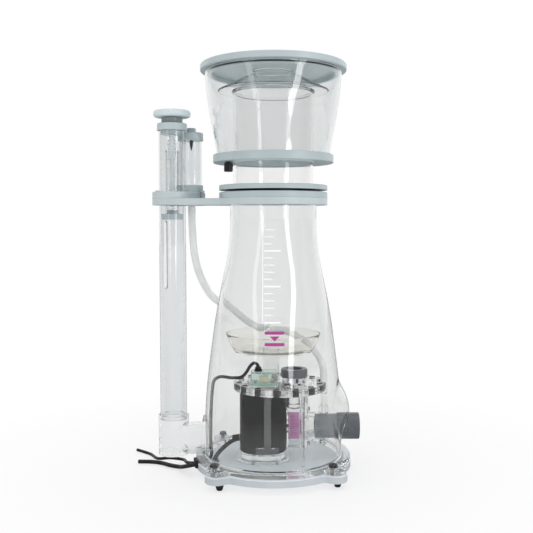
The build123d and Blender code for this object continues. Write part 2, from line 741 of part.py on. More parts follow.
@piece
def cup_lid():
    """Disc with a ring below it, grooved for the seal."""
    r, z0, z1, rim_z = 108.5, 599.5, 608.5, 593.5
    lid = lathe([(0, z0), (92.0, z0), (92.0, rim_z), (97.6, rim_z), (97.6, z0),
                 (r - EDGE_BREAK, z0), (r, z0 + EDGE_BREAK), (r, z1 - 1.2), (r - 1.2, z1), (0, z1)])
    return lid - ring(110.0, LID_SEAL_BORE_R - CLEAR, LID_SEAL_Z0 - 0.1, LID_SEAL_Z1 + 0.1)


@piece
def lid_seal():
    return ring(98.3, LID_SEAL_BORE_R, LID_SEAL_Z0, LID_SEAL_Z1)


@piece
def lid_deflector():
    return lathe([(26.0, 599.4), (31.0, 599.4), (31.6, 597.0), (82.5, 571.0), (80.6, 569.4),
                  (28.4, 595.6), (26.0, 597.6)])


os.makedirs("parts", exist_ok=True)
for make in pieces:
    export_step(Pos(*SHIFT) * make(), f"parts/{make.__name__}.step")
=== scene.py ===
# A protein skimmer: a clear cone-shaped body on a lugged foot flange, with a collecting cup
# above it, a pump inside, and an outlet riser and a silencer beside it.
# It stands upright on z = 0 with its level scale at the front, facing -Y.
# Shapes are given in millimetres about the body's own vertical axis; place() turns them
# into the frame's metres.
import bpy
import bmesh
import math
from mathutils import Vector, Matrix

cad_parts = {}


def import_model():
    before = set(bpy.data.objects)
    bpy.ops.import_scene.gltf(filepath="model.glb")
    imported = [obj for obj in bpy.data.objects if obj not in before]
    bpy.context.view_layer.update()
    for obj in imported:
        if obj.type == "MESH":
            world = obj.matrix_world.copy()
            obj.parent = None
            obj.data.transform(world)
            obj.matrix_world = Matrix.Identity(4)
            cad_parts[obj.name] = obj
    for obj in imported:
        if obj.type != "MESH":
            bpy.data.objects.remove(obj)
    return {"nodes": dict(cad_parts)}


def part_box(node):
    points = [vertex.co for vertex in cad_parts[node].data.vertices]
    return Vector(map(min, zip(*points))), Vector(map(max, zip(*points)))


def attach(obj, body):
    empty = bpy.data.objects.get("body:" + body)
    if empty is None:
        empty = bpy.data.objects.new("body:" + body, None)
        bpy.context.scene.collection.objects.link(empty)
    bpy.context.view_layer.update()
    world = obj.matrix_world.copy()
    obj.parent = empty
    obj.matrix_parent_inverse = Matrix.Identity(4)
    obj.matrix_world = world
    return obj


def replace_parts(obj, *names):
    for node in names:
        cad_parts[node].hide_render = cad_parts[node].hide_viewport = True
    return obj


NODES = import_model()["nodes"]
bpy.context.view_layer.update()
MM = 0.001


# ------------------------------------------------------------------ places
def centre(node):
    """Plan centre of a CAD piece, in metres."""
    low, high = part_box(node)
    return ((low[0] + high[0]) / 2.0, (low[1] + high[1]) / 2.0)


BODY_X, BODY_Y = centre("cup_neck")


def about_body(point):
    """Metres in the frame to millimetres about the body's axis."""
    return ((point[0] - BODY_X) / MM, (point[1] - BODY_Y) / MM)


PIPE_AXIS = centre("outlet_pipe")
SILENCER_AXIS = centre("silencer_tube")
PIPE = about_body(PIPE_AXIS)
SILENCER = about_body(SILENCER_AXIS)
PUMP_RISER = about_body(centre("riser_ring"))
DISH_STEM = about_body(centre("dish_stem"))

PUMP_Z = 67.7                        # height of the needle wheel's axis
EXIT_ANGLE = math.radians(195.0)     # bearing at which the cables pass under the flange


def place(x, y, z):
    """Millimetres about the body's axis to the frame's metres."""
    return Vector((BODY_X + x * MM, BODY_Y + y * MM, z * MM))


def polar(radius, degrees):
    angle = math.radians(degrees)
    return (radius * math.cos(angle), radius * math.sin(angle))


def at_exit(radius, side, z):
    """Point at a radius along the cable exit's bearing, moved sideways from it."""
    cos_exit, sin_exit = math.cos(EXIT_ANGLE), math.sin(EXIT_ANGLE)
    return (radius * cos_exit - side * sin_exit, radius * sin_exit + side * cos_exit, z)


# --------------------------------------------------------------- mesh tools
def shade_smooth(mesh, sharp=32.0):
    for polygon in mesh.polygons:
        polygon.use_smooth = True
    mesh.set_sharp_from_angle(angle=math.radians(sharp))


def face_outward(mesh):
    bm = bmesh.new()
    bm.from_mesh(mesh)
    bmesh.ops.recalc_face_normals(bm, faces=bm.faces)
    bm.to_mesh(mesh)
    bm.free()


def finish_mesh(name, mesh, body, materials, sharp):
    mesh.validate()
    shade_smooth(mesh, sharp)
    ob = bpy.data.objects.new(name, mesh)
    bpy.context.scene.collection.objects.link(ob)
    for key in materials:
        mesh.materials.append(MATERIALS[key])
    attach(ob, body)
    return ob


def piece(name, verts, faces, body, material, sharp=32.0):
    mesh = bpy.data.meshes.new(name)
    mesh.from_pydata([tuple(v) for v in verts], [], faces)
    face_outward(mesh)
    return finish_mesh(name, mesh, body, [material], sharp)


def bm_piece(name, bm, materials, body="root", sharp=32.0):
    """Object from a bmesh built in millimetres."""
    for v in bm.verts:
        v.co = place(v.co.x, v.co.y, v.co.z)
    bmesh.ops.recalc_face_normals(bm, faces=bm.faces)
    mesh = bpy.data.meshes.new(name)
    bm.to_mesh(mesh)
    bm.free()
    return finish_mesh(name, mesh, body, materials, sharp)


def smooth_line(points, step):
    """Centripetal Catmull-Rom curve through points, sampled about every step millimetres."""
    def between(p, q, tp, tq, t):
        return p * ((tq - t) / (tq - tp)) + q * ((t - tp) / (tq - tp))

    def next_knot(t, p, q):
        return t + max((q - p).length, 1e-6) ** 0.5

    knots = [Vector(p) for p in points]
    knots = [knots[0] * 2 - knots[1]] + knots + [knots[-1] * 2 - knots[-2]]
    line = []
    for a, b, c, d in zip(knots, knots[1:], knots[2:], knots[3:]):
        count = max(2, int((c - b).length / step))
        ta = 0.0
        tb = next_knot(ta, a, b)
        tc = next_knot(tb, b, c)
        td = next_knot(tc, c, d)
        for k in range(count):
            t = tb + (tc - tb) * k / count
            ab = between(a, b, ta, tb, t)
            bc = between(b, c, tb, tc, t)
            cd = between(c, d, tc, td, t)
            abc = between(ab, bc, ta, tc, t)
            bcd = between(bc, cd, tb, td, t)
            line.append(between(abc, bcd, tb, tc, t))
    line.append(knots[-2].copy())
    return line


def resample_profile(points, step):
    return [(v.x, v.z) for v in smooth_line([(r, 0.0, z) for r, z in points], step)]


def turned_ring(name, profile, material, segs, axis=(0, 0), body="root", wobble=None):
    """Closed loop profile (r, z) turned about a vertical axis.

    wobble(angle, r, z, index) gives the radius of a point where the form isn't round.
    """
    verts, faces = [], []
    count = len(profile)
    for i in range(segs):
        angle = 2 * math.pi * i / segs
        for j, (r, z) in enumerate(profile):
            if wobble:
                r = wobble(angle, r, z, j)
            verts.append(place(axis[0] + r * math.cos(angle), axis[1] + r * math.sin(angle), z))
    for i in range(segs):
        k = (i + 1) % segs
        for j in range(count):
            l = (j + 1) % count
            faces.append((i * count + j, k * count + j, k * count + l, i * count + l))
    return piece(name, verts, faces, body, material)


def turned_cap(name, profile, material, segs, axis=(0, 0), body="root", wobble=None):
    """Open profile (r, z), whose ends lie on a vertical axis, turned to a solid.

    wobble(angle, r) gives the radius of a point where the form isn't round.
    """
    verts, faces = [], []
    inner = profile[1:-1]
    count = len(inner)
    for i in range(segs):
        angle = 2 * math.pi * i / segs
        for r, z in inner:
            if wobble:
                r = wobble(angle, r)
            verts.append(place(axis[0] + r * math.cos(angle), axis[1] + r * math.sin(angle), z))
    first_tip = len(verts)
    last_tip = first_tip + 1
    verts.append(place(*axis, profile[0][1]))
    verts.append(place(*axis, profile[-1][1]))
    for i in range(segs):
        k = (i + 1) % segs
        faces.append((first_tip, k * count, i * count))
        for j in range(count - 1):
            faces.append((i * count + j, k * count + j, k * count + j + 1, i * count + j + 1))
        faces.append((i * count + count - 1, k * count + count - 1, last_tip))
    return piece(name, verts, faces, body, material)


def sweep(name, path, radius, material, segs, step=2.0, bore=None, vary=None):
    """Round cord, or hollow tube if bore is given, along a smooth path.

    vary(distance, total) replaces the radius along the way.
    """
    line = smooth_line(path, step)
    last = len(line) - 1
    travelled = [0.0]
    for p, q in zip(line, line[1:]):
        travelled.append(travelled[-1] + (q - p).length)
    total = travelled[-1]
    tangents = [(line[min(i + 1, last)] - line[max(i - 1, 0)]).normalized()
                for i in range(last + 1)]
    up = Vector((0, 0, 1)) if abs(tangents[0].z) < 0.9 else Vector((1, 0, 0))
    normal = (up - tangents[0] * up.dot(tangents[0])).normalized()
    frames = []                      # centre, normal and side direction of each section
    for i, (point, tangent) in enumerate(zip(line, tangents)):
        if i:
            normal = (normal - tangent * normal.dot(tangent)).normalized()
        frames.append((point, normal.copy(), tangent.cross(normal)))

    sizes = [vary(s, total) if vary else radius for s in travelled]
    sections = [(*frame, size) for frame, size in zip(frames, sizes)]
    if bore:
        rings = sections + [(p, n, side, bore + (size - radius) * 0.6)
                            for p, n, side, size in reversed(sections)]
    else:
        def end_rings(section, inward, shares):
            """Sections narrowing to a domed end."""
            p, n, side, size = section
            return [(p + inward * (q * 0.4 * radius), n, side,
                     size * math.sin(math.acos(1 - q))) for q in shares]
        rings = (end_rings(sections[0], tangents[0], (0.15, 0.5, 0.85)) + sections[1:-1]
                 + end_rings(sections[-1], -tangents[-1], (0.85, 0.5, 0.15)))

    verts, faces = [], []
    for p, n, side, size in rings:
        for k in range(segs):
            angle = 2 * math.pi * k / segs
            q = p + n * (size * math.cos(angle)) + side * (size * math.sin(angle))
            verts.append(place(q.x, q.y, q.z))
    count = len(rings)
    for i in range(count if bore else count - 1):
        a, b = i * segs, (i + 1) % count * segs
        for k in range(segs):
            l = (k + 1) % segs
            faces.append((a + k, a + l, b + l, b + k))
    if not bore:
        faces.append(tuple(range(segs)))
        faces.append(tuple(range((count - 1) * segs, count * segs)))
    return piece(name, verts, faces, "root", material, sharp=40.0)


def threaded(name, radius, depth, pitch, starts, z0, z1, segs, body):
    """Screw thread on the outlet pipe's axis, fading out at both ends."""
    rows_per_turn = 6
    steps = int((z1 - z0) / pitch * rows_per_turn)
    verts, faces = [], []
    for j in range(steps + 1):
        z = z0 + (z1 - z0) * j / steps
        fade = min(1.0, (z - z0) / 2.0, (z1 - z) / 2.0)
        for i in range(segs):
            angle = 2 * math.pi * i / segs
            phase = (z / pitch - starts * i / segs) % 1.0
            ridge = 1.0 - abs(2 * phase - 1.0)
            r = (radius - depth * (1.0 - min(1.0, max(0.0, ridge * 1.6 - 0.3)))
                 - (1 - max(0.0, fade)) * depth)
            verts.append(place(PIPE[0] + r * math.cos(angle), PIPE[1] + r * math.sin(angle), z))
    for j in range(steps):
        for i in range(segs):
            k = (i + 1) % segs
            faces.append((j * segs + i, j * segs + k, (j + 1) * segs + k, (j + 1) * segs + i))
    faces.append(tuple(range(segs - 1, -1, -1)))
    faces.append(tuple(range(steps * segs, (steps + 1) * segs)))
    return piece(name, verts, faces, body, "spindle", sharp=60.0)


def box_part(bm, x0, x1, y0, y1, z0, z1, bevel, slot):
    """Adds a block to a bmesh, bevelled unless bevel is 0."""
    verts = bmesh.ops.create_cube(bm, size=1.0)["verts"]
    for v in verts:
        v.co = Vector((x0 + (v.co.x + 0.5) * (x1 - x0),
                       y0 + (v.co.y + 0.5) * (y1 - y0),
                       z0 + (v.co.z + 0.5) * (z1 - z0)))
    for face in {f for v in verts for f in v.link_faces}:
        face.material_index = slot
    if bevel:
        edges = list({e for v in verts for e in v.link_edges})
        result = bmesh.ops.bevel(bm, geom=edges, offset=bevel, segments=2, profile=0.6,
                                 affect="EDGES")
        for face in result["faces"]:
            face.material_index = slot


def turned_part(bm, profile, origin, segs, slot=0, along_x=False, wobble=None):
    """Adds a closed turned form to a bmesh; its (r, height) profile ends on the axis.

    wobble(k, r) gives the radius at step k round the form where it isn't round.
    """
    def at(r, height, k):
        angle = 2 * math.pi * k / segs
        if wobble:
            r = wobble(k, r)
        x, y = r * math.cos(angle), r * math.sin(angle)
        local = (height, x, y) if along_x else (x, y, height)
        return bm.verts.new([o + p for o, p in zip(origin, local)])

    loops = [[at(r, height, k) for k in range(segs)] for r, height in profile[1:-1]]
    first_tip = at(0, profile[0][1], 0)
    last_tip = at(0, profile[-1][1], 0)
    faces = []
    for k in range(segs):
        l = (k + 1) % segs
        faces.append(bm.faces.new((first_tip, loops[0][l], loops[0][k])))
        for low, high in zip(loops, loops[1:]):
            faces.append(bm.faces.new((low[k], low[l], high[l], high[k])))
        faces.append(bm.faces.new((loops[-1][k], loops[-1][l], last_tip)))
    for face in faces:
        face.material_index = slot


def prism_cutter(ring_a, ring_b):
    """Closed prism between two equal rings of points (mm), used only to cut."""
    count = len(ring_a)
    verts = [tuple(place(*p)) for p in (*ring_a, *ring_b)]
    faces = [(k, (k + 1) % count, count + (k + 1) % count, count + k) for k in range(count)]
    faces.append(tuple(range(count - 1, -1, -1)))
    faces.append(tuple(range(count, 2 * count)))
    mesh = bpy.data.meshes.new("cutter")
    mesh.from_pydata(verts, [], faces)
    ob = bpy.data.objects.new("cutter", mesh)
    bpy.context.scene.collection.objects.link(ob)
    return ob


def cylinder_cutter(radius, start, end, segs=72):
    start, end = Vector(start), Vector(end)
    along = (end - start).normalized()
    up = Vector((0, 0, 1)) if abs(along.z) < 0.9 else Vector((1, 0, 0))
    normal = (up - along * up.dot(along)).normalized()
    side = along.cross(normal)

    def ring(p):
        angles = [2 * math.pi * k / segs for k in range(segs)]
        return [p + normal * (radius * math.cos(a)) + side * (radius * math.sin(a))
                for a in angles]
    return prism_cutter(ring(start), ring(end))


def cut(ob, cutters):
    """Cuts closed cutter meshes out of ob and leaves no modifier behind."""
    for cutter in cutters:
        modifier = ob.modifiers.new("cut", "BOOLEAN")
        modifier.operation = "DIFFERENCE"
        modifier.solver = "EXACT"
        modifier.object = cutter
    depsgraph = bpy.context.evaluated_depsgraph_get()
    mesh = bpy.data.meshes.new_from_object(ob.evaluated_get(depsgraph))
    ob.modifiers.clear()
    old = ob.data
    ob.data = mesh
    bpy.data.meshes.remove(old)
    shade_smooth(mesh)
    for cutter in cutters:
        cutter_mesh = cutter.data
        bpy.data.objects.remove(cutter)
        bpy.data.meshes.remove(cutter_mesh)


# -------------------------------------------------------------- shader tools
class Nodes:
    """Builds the node tree of a material or a world.

    An input takes a number, a colour or vector, a socket, or a node (its first output).
    """
    def __init__(self, owner, output):
        owner.use_nodes = True
        self.owner = owner
        self.tree = owner.node_tree
        self.tree.nodes.clear()
        self.output = self.node(output)

    def set_input(self, socket, value):
        if isinstance(value, bpy.types.Node):
            value = value.outputs[0]
        if isinstance(value, bpy.types.NodeSocket):
            self.tree.links.new(value, socket)
        elif socket.type == "RGBA":
            socket.default_value = (*value, 1.0)
        else:
            socket.default_value = value

    def node(self, kind, settings=None, **inputs):
        """Adds a node; underscores in input names stand for spaces."""
        node = self.tree.nodes.new("ShaderNode" + kind)
        for key, value in (settings or {}).items():
            setattr(node, key, value)
        for key, value in inputs.items():
            self.set_input(node.inputs[key.replace("_", " ")], value)
        return node

    def ordered(self, kind, settings, values):
        """Adds a node whose inputs are given by index."""
        node = self.node(kind, settings)
        for index, value in values.items():
            self.set_input(node.inputs[index], value)
        return node

    def coords(self):
        return self.node("TexCoord").outputs["Object"]

    def separate(self, vector):
        return self.node("SeparateXYZ", Vector=vector).outputs

    def noise(self, vector, scale, detail=4.0, roughness=0.55):
        return self.node("TexNoise", Vector=vector, Scale=scale, Detail=detail,
                         Roughness=roughness).outputs["Fac"]

    def remap(self, value, span, to=(0.0, 1.0), curve="LINEAR"):
        """Maps span onto to, clamped."""
        return self.node("MapRange", {"interpolation_type": curve}, Value=value,
                         From_Min=span[0], From_Max=span[1], To_Min=to[0], To_Max=to[1])

    def spread(self, noise, low=0.0, high=1.0):
        """Stretches the middle of a noise, where most of it lies, over low to high."""
        return self.remap(noise, span=(0.3, 0.7), to=(low, high))

    def calc(self, operation, *values):
        return self.ordered("Math", {"operation": operation}, dict(enumerate(values)))

    def vector_calc(self, operation, *values):
        return self.ordered("VectorMath", {"operation": operation}, dict(enumerate(values)))

    def mix(self, factor, a, b, blend="MIX"):
        settings = {"data_type": "RGBA", "blend_type": blend}
        return self.ordered("Mix", settings, {0: factor, 6: a, 7: b}).outputs[2]

    def mix_shader(self, factor, a, b):
        return self.ordered("MixShader", {}, {0: factor, 1: a, 2: b})

    def bump(self, height, strength, distance, **normal):
        return self.node("Bump", Height=height, Strength=strength, Distance=distance, **normal)

    def bevel(self, radius):
        return self.node("Bevel", {"samples": 3}, Radius=radius)

    def radial(self, axis):
        """Distance from a vertical axis, and height, in metres."""
        xyz = self.separate(self.coords())
        x = self.calc("SUBTRACT", xyz[0], axis[0])
        y = self.calc("SUBTRACT", xyz[1], axis[1])
        squares = self.calc("ADD", self.calc("MULTIPLY", x, x), self.calc("MULTIPLY", y, y))
        return self.calc("SQRT", squares), xyz[2]

    def level_share(self, normal):
        """1 where a surface lies level, 0 where it stands upright."""
        return self.calc("ABSOLUTE", self.separate(normal)[2])

    def pass_light(self, shader, tint):
        """Lets shadow and diffuse rays straight through a clear solid."""
        clear = self.node("BsdfTransparent", Color=tint)
        rays = self.node("LightPath").outputs
        factor = self.calc("MAXIMUM", rays["Is Shadow Ray"], rays["Is Diffuse Ray"])
        return self.mix_shader(factor, shader, clear)

    def finish(self, shader):
        self.set_input(self.output.inputs["Surface"], shader)
        return self.owner

    def finish_principled(self, **inputs):
        return self.finish(self.node("BsdfPrincipled", **inputs))


def new_material(name):
    return Nodes(bpy.data.materials.new(name), "OutputMaterial")


def shade(colour, gain, lift=0.0):
    return tuple(min(1.0, c * gain + lift) for c in colour)


# ---------------------------------------------------------------- materials
def acrylic(name, tint, scratch=0.25, ior=1.49, milk=0.0):
    """Clear cast acrylic with faint polish marks; milk is its share of white haze."""
    net = new_material(name)
    upright = net.node("Mapping", Vector=net.coords(), Scale=(1.0, 1.0, 0.25))
    drift = net.noise(upright, scale=14.0, detail=2.0)
    fine = net.noise(upright, scale=900.0, detail=3.0, roughness=0.6)
    shader = net.node("BsdfGlass", IOR=ior,
                      Color=net.mix(net.spread(drift), shade(tint, 0.985), tint),
                      Roughness=net.remap(fine, span=(0.55, 0.9), to=(0.0, 0.02)),
                      Normal=net.bump(drift, strength=0.05 * scratch, distance=0.0003))
    if milk:
        haze = net.node("BsdfDiffuse", Color=(0.93, 0.94, 0.94))
        shader = net.mix_shader(net.spread(drift, milk * 0.7, milk * 1.3), shader, haze)
    return net.finish(net.pass_light(shader, tint=(0.97, 0.975, 0.975)))


def drilled(name, axis, rim, ring_inner):
    """Clear plate with a pale turned rim; upright hole walls beyond ring_inner are painted near
    black as painted shade.
    """
    net = new_material(name)
    vector = net.coords()
    level = net.level_share(net.node("NewGeometry").outputs["Normal"])
    side = net.remap(level, span=(0.35, 0.85), to=(1.0, 0.0))
    distance, _ = net.radial(axis)
    outer = net.remap(distance, span=(rim - 0.0012, rim - 0.0008))
    band = net.calc("MULTIPLY", net.remap(distance, span=(ring_inner, ring_inner + 0.0006)),
                    net.calc("SUBTRACT", 1.0, outer))
    grain = net.noise(vector, scale=700.0)
    drift = net.noise(vector, scale=60.0, detail=3.0)
    clear = net.node("BsdfGlass", IOR=1.16, Roughness=0.0,
                     Color=net.mix(net.spread(drift), (0.985, 0.988, 0.988),
                                   (0.995, 0.997, 0.997)),
                     Normal=net.bump(grain, strength=0.05, distance=0.0002))
    pale = net.node("BsdfDiffuse", Color=net.mix(net.spread(grain), (0.90, 0.91, 0.91),
                                                 (0.97, 0.975, 0.975)))
    # painted shade: near-black surface for the upright hole walls
    painted_hole_shade_shader = net.node("BsdfPrincipled", Roughness=0.45, Specular_IOR_Level=0.04,
                     Base_Color=net.mix(net.spread(grain), (0.002, 0.002, 0.002),
                                        (0.008, 0.008, 0.009)))
    rim_haze = net.calc("MULTIPLY", outer, net.remap(side, span=(0.0, 1.0), to=(0.01, 0.04)))
    level_band = net.calc("MULTIPLY", band, net.calc("SUBTRACT", 1.0, side))
    haze = net.calc("ADD", rim_haze, net.calc("MULTIPLY", level_band, 0.30))
    plate = net.mix_shader(haze, clear, pale)
    # where the painted shade goes: upright faces inside the ring of holes
    painted_hole_shade_mask = net.calc("MULTIPLY", net.calc("MULTIPLY", band, side),
                     net.spread(drift, 0.86, 1.0))
    plate = net.mix_shader(painted_hole_shade_mask, plate, painted_hole_shade_shader)
    return net.finish(net.pass_light(plate, tint=(0.96, 0.965, 0.965)))


def pvc(name, base, axis=None, rough=0.38, lines=2600.0, side=1.0):
    """Machined PVC with light rubbed edges, dust and slow colour drift.

    axis: plan centre of faint turning lines, lines: their density, side: factor
    that darkens upright faces, as painted shade.
    """
    net = new_material(name)
    vector = net.coords()
    slow = net.noise(vector, scale=22.0, detail=3.0)
    mid = net.noise(vector, scale=180.0, detail=5.0, roughness=0.6)
    fine = net.noise(vector, scale=2400.0, detail=2.0)
    colour = net.mix(net.spread(slow), shade(base, 0.93), shade(base, 1.05))
    dust = net.remap(mid, span=(0.45, 0.8), to=(0.0, 0.10))
    colour = net.mix(dust, colour, shade(base, 1.18))
    rounded = net.bevel(radius=0.0007)
    normal = net.node("NewGeometry").outputs["Normal"]
    dot = net.vector_calc("DOT_PRODUCT", rounded, normal).outputs["Value"]
    edge = net.calc("MULTIPLY", net.remap(dot, span=(0.80, 0.985), to=(1.0, 0.0)),
                    net.remap(mid, span=(0.35, 0.65), to=(0.25, 0.85)))
    colour = net.mix(edge, colour, shade(base, 1.30, lift=0.03))
    # painted shade: upright faces are multiplied by side, so they come out darker than level ones
    if side != 1.0:
        upright = net.remap(net.level_share(normal), span=(0.2, 0.8), to=(1.0, 0.0))
        colour = net.mix(upright, colour, (side, side, side * 1.01), blend="MULTIPLY")
    height = net.calc("ADD", net.calc("MULTIPLY", mid, 0.5), net.calc("MULTIPLY", fine, 0.35))
    if axis is not None:
        distance, z = net.radial(axis)
        travel = net.calc("ADD", distance, net.calc("MULTIPLY", z, 0.55))
        wave = net.calc("SINE", net.calc("MULTIPLY", travel, lines * 2.2))
        height = net.calc("ADD", height, net.calc("MULTIPLY", wave, 0.12))
    return net.finish_principled(
        Base_Color=colour,
        Roughness=net.calc("ADD", net.spread(mid, rough - 0.06, rough + 0.08),
                           net.spread(slow, -0.03, 0.05)),
        Normal=net.bump(height, strength=0.10, distance=0.0006, Normal=rounded),
        IOR=1.5, Specular_IOR_Level=0.5, Coat_Weight=0.08, Coat_Roughness=0.2)


def rubber(name, base=(0.012, 0.012, 0.013), rough=0.55, grain=1500.0):
    net = new_material(name)
    vector = net.coords()
    fine = net.noise(vector, scale=grain, roughness=0.65)
    drift = net.noise(vector, scale=60.0)
    return net.finish_principled(
        Base_Color=net.mix(net.remap(drift, span=(0.4, 0.75)), base,
                           shade(base, 1.9, lift=0.006)),
        Roughness=net.spread(drift, rough - 0.08, rough + 0.14),
        Normal=net.bump(fine, strength=0.22, distance=0.0003, Normal=net.bevel(0.0005)),
        Specular_IOR_Level=0.42)


def epoxy(name):
    """Black casing: deep gloss above, greyer low down as a painted reflection of the pale base
    and floor, with a slight moulded ripple.
    """
    net = new_material(name)
    vector = net.coords()
    ripple = net.noise(vector, scale=40.0, detail=2.0)
    fine = net.noise(vector, scale=900.0, detail=3.0)
    slow = net.noise(vector, scale=9.0, detail=3.0)
    # painted reflection: the colour runs from black to grey towards the casing's foot
    low = net.remap(net.separate(vector)[2], span=(0.036, 0.086), to=(1.0, 0.0))
    black = net.mix(net.remap(slow, span=(0.35, 0.7)), (0.001, 0.001, 0.0011),
                    (0.003, 0.003, 0.0033))
    # colour of the painted floor reflection on the casing's lower part
    grey = net.mix(net.spread(fine), (0.044, 0.044, 0.045), (0.060, 0.060, 0.061))
    grain = net.bump(fine, strength=0.05, distance=0.0002, Normal=net.bevel(0.0012))
    return net.finish_principled(
        Base_Color=net.mix(low, black, grey),
        Roughness=net.spread(fine, 0.20, 0.32),
        Normal=net.bump(ripple, strength=0.12, distance=0.0012, Normal=grain),
        IOR=1.45, Specular_IOR_Level=0.10)


def steel(name, tone=1.0):
    net = new_material(name)
    vector = net.coords()
    stretched = net.node("Mapping", Vector=vector, Scale=(1.0, 1.0, 7.0))
    brushed = net.noise(stretched, scale=1100.0, roughness=0.7)
    drift = net.noise(vector, scale=90.0, detail=3.0)
    return net.finish_principled(
        Base_Color=net.mix(net.spread(drift), shade((0.40, 0.40, 0.41), tone),
                           shade((0.62, 0.62, 0.63), tone)),
        Metallic=1.0,
        Roughness=net.spread(brushed, 0.18, 0.36),
        Normal=net.bump(brushed, strength=0.10, distance=0.0002, Normal=net.bevel(0.0003)))


def silicone(name):
    """Translucent silicone tube, part clear and part milky."""
    net = new_material(name)
    vector = net.coords()
    grain = net.noise(vector, scale=260.0)
    drift = net.noise(vector, scale=30.0, detail=3.0)
    normal = net.bump(grain, strength=0.10, distance=0.0004)
    glass = net.node("BsdfGlass", IOR=1.41, Color=(0.90, 0.915, 0.91),
                     Roughness=net.spread(grain, 0.10, 0.22), Normal=normal)
    milk = net.node("BsdfPrincipled", Roughness=0.25, Subsurface_Weight=0.35,
                    Subsurface_Radius=(0.006, 0.006, 0.006), Subsurface_Scale=0.5,
                    Base_Color=net.mix(net.spread(drift), (0.93, 0.935, 0.93),
                                       (0.97, 0.975, 0.97)),
                    Normal=normal)
    clear = net.node("BsdfTransparent", Color=(0.95, 0.955, 0.955))
    tube = net.mix_shader(net.spread(drift, 0.66, 0.80), glass, milk)
    shadow = net.node("LightPath").outputs["Is Shadow Ray"]
    return net.finish(net.mix_shader(net.calc("MULTIPLY", shadow, 0.85), tube, clear))


def plastic(name, base, rough=0.4, subsurface=0.0):
    net = new_material(name)
    vector = net.coords()
    grain = net.noise(vector, scale=700.0)
    drift = net.noise(vector, scale=70.0)
    return net.finish_principled(
        Base_Color=net.mix(net.spread(drift), shade(base, 0.88), shade(base, 1.10)),
        Roughness=net.spread(grain, rough - 0.07, rough + 0.08),
        Normal=net.bump(grain, strength=0.10, distance=0.0003, Normal=net.bevel(0.0003)),
        Subsurface_Weight=subsurface, Subsurface_Scale=0.002)


def circuit(name):
    """Circuit board: green solder mask over copper runs."""
    net = new_material(name)
    vector = net.coords()
    runs = net.node("TexBrick", Vector=vector, Scale=260.0, Mortar_Size=0.10,
                    Brick_Width=1.3, Row_Height=0.35, Color1=(0.030, 0.20, 0.11),
                    Color2=(0.022, 0.15, 0.08), Mortar=(0.07, 0.34, 0.20))
    patches = net.remap(net.noise(vector, scale=240.0, detail=3.0), span=(0.5, 0.62),
                        to=(0.0, 0.55))
    return net.finish_principled(
        Base_Color=net.mix(patches, runs.outputs["Color"], (0.045, 0.26, 0.15)),
        Roughness=0.3,
        Normal=net.bump(runs.outputs["Fac"], strength=0.3, distance=0.0002),
        Coat_Weight=0.4, Coat_Roughness=0.1)


def printed(name, base):
    """Screen-printed ink with a slight tooth and thin spots."""
    net = new_material(name)
    vector = net.coords()
    tooth = net.noise(vector, scale=1800.0, detail=3.0)
    thin = net.remap(net.noise(vector, scale=420.0), span=(0.45, 0.8), to=(0.0, 0.6))
    return net.finish_principled(
        Base_Color=net.mix(thin, base, shade(base, 0.86, lift=0.05)),
        Roughness=net.spread(tooth, 0.30, 0.45),
        Normal=net.bump(tooth, strength=0.15, distance=0.0001))


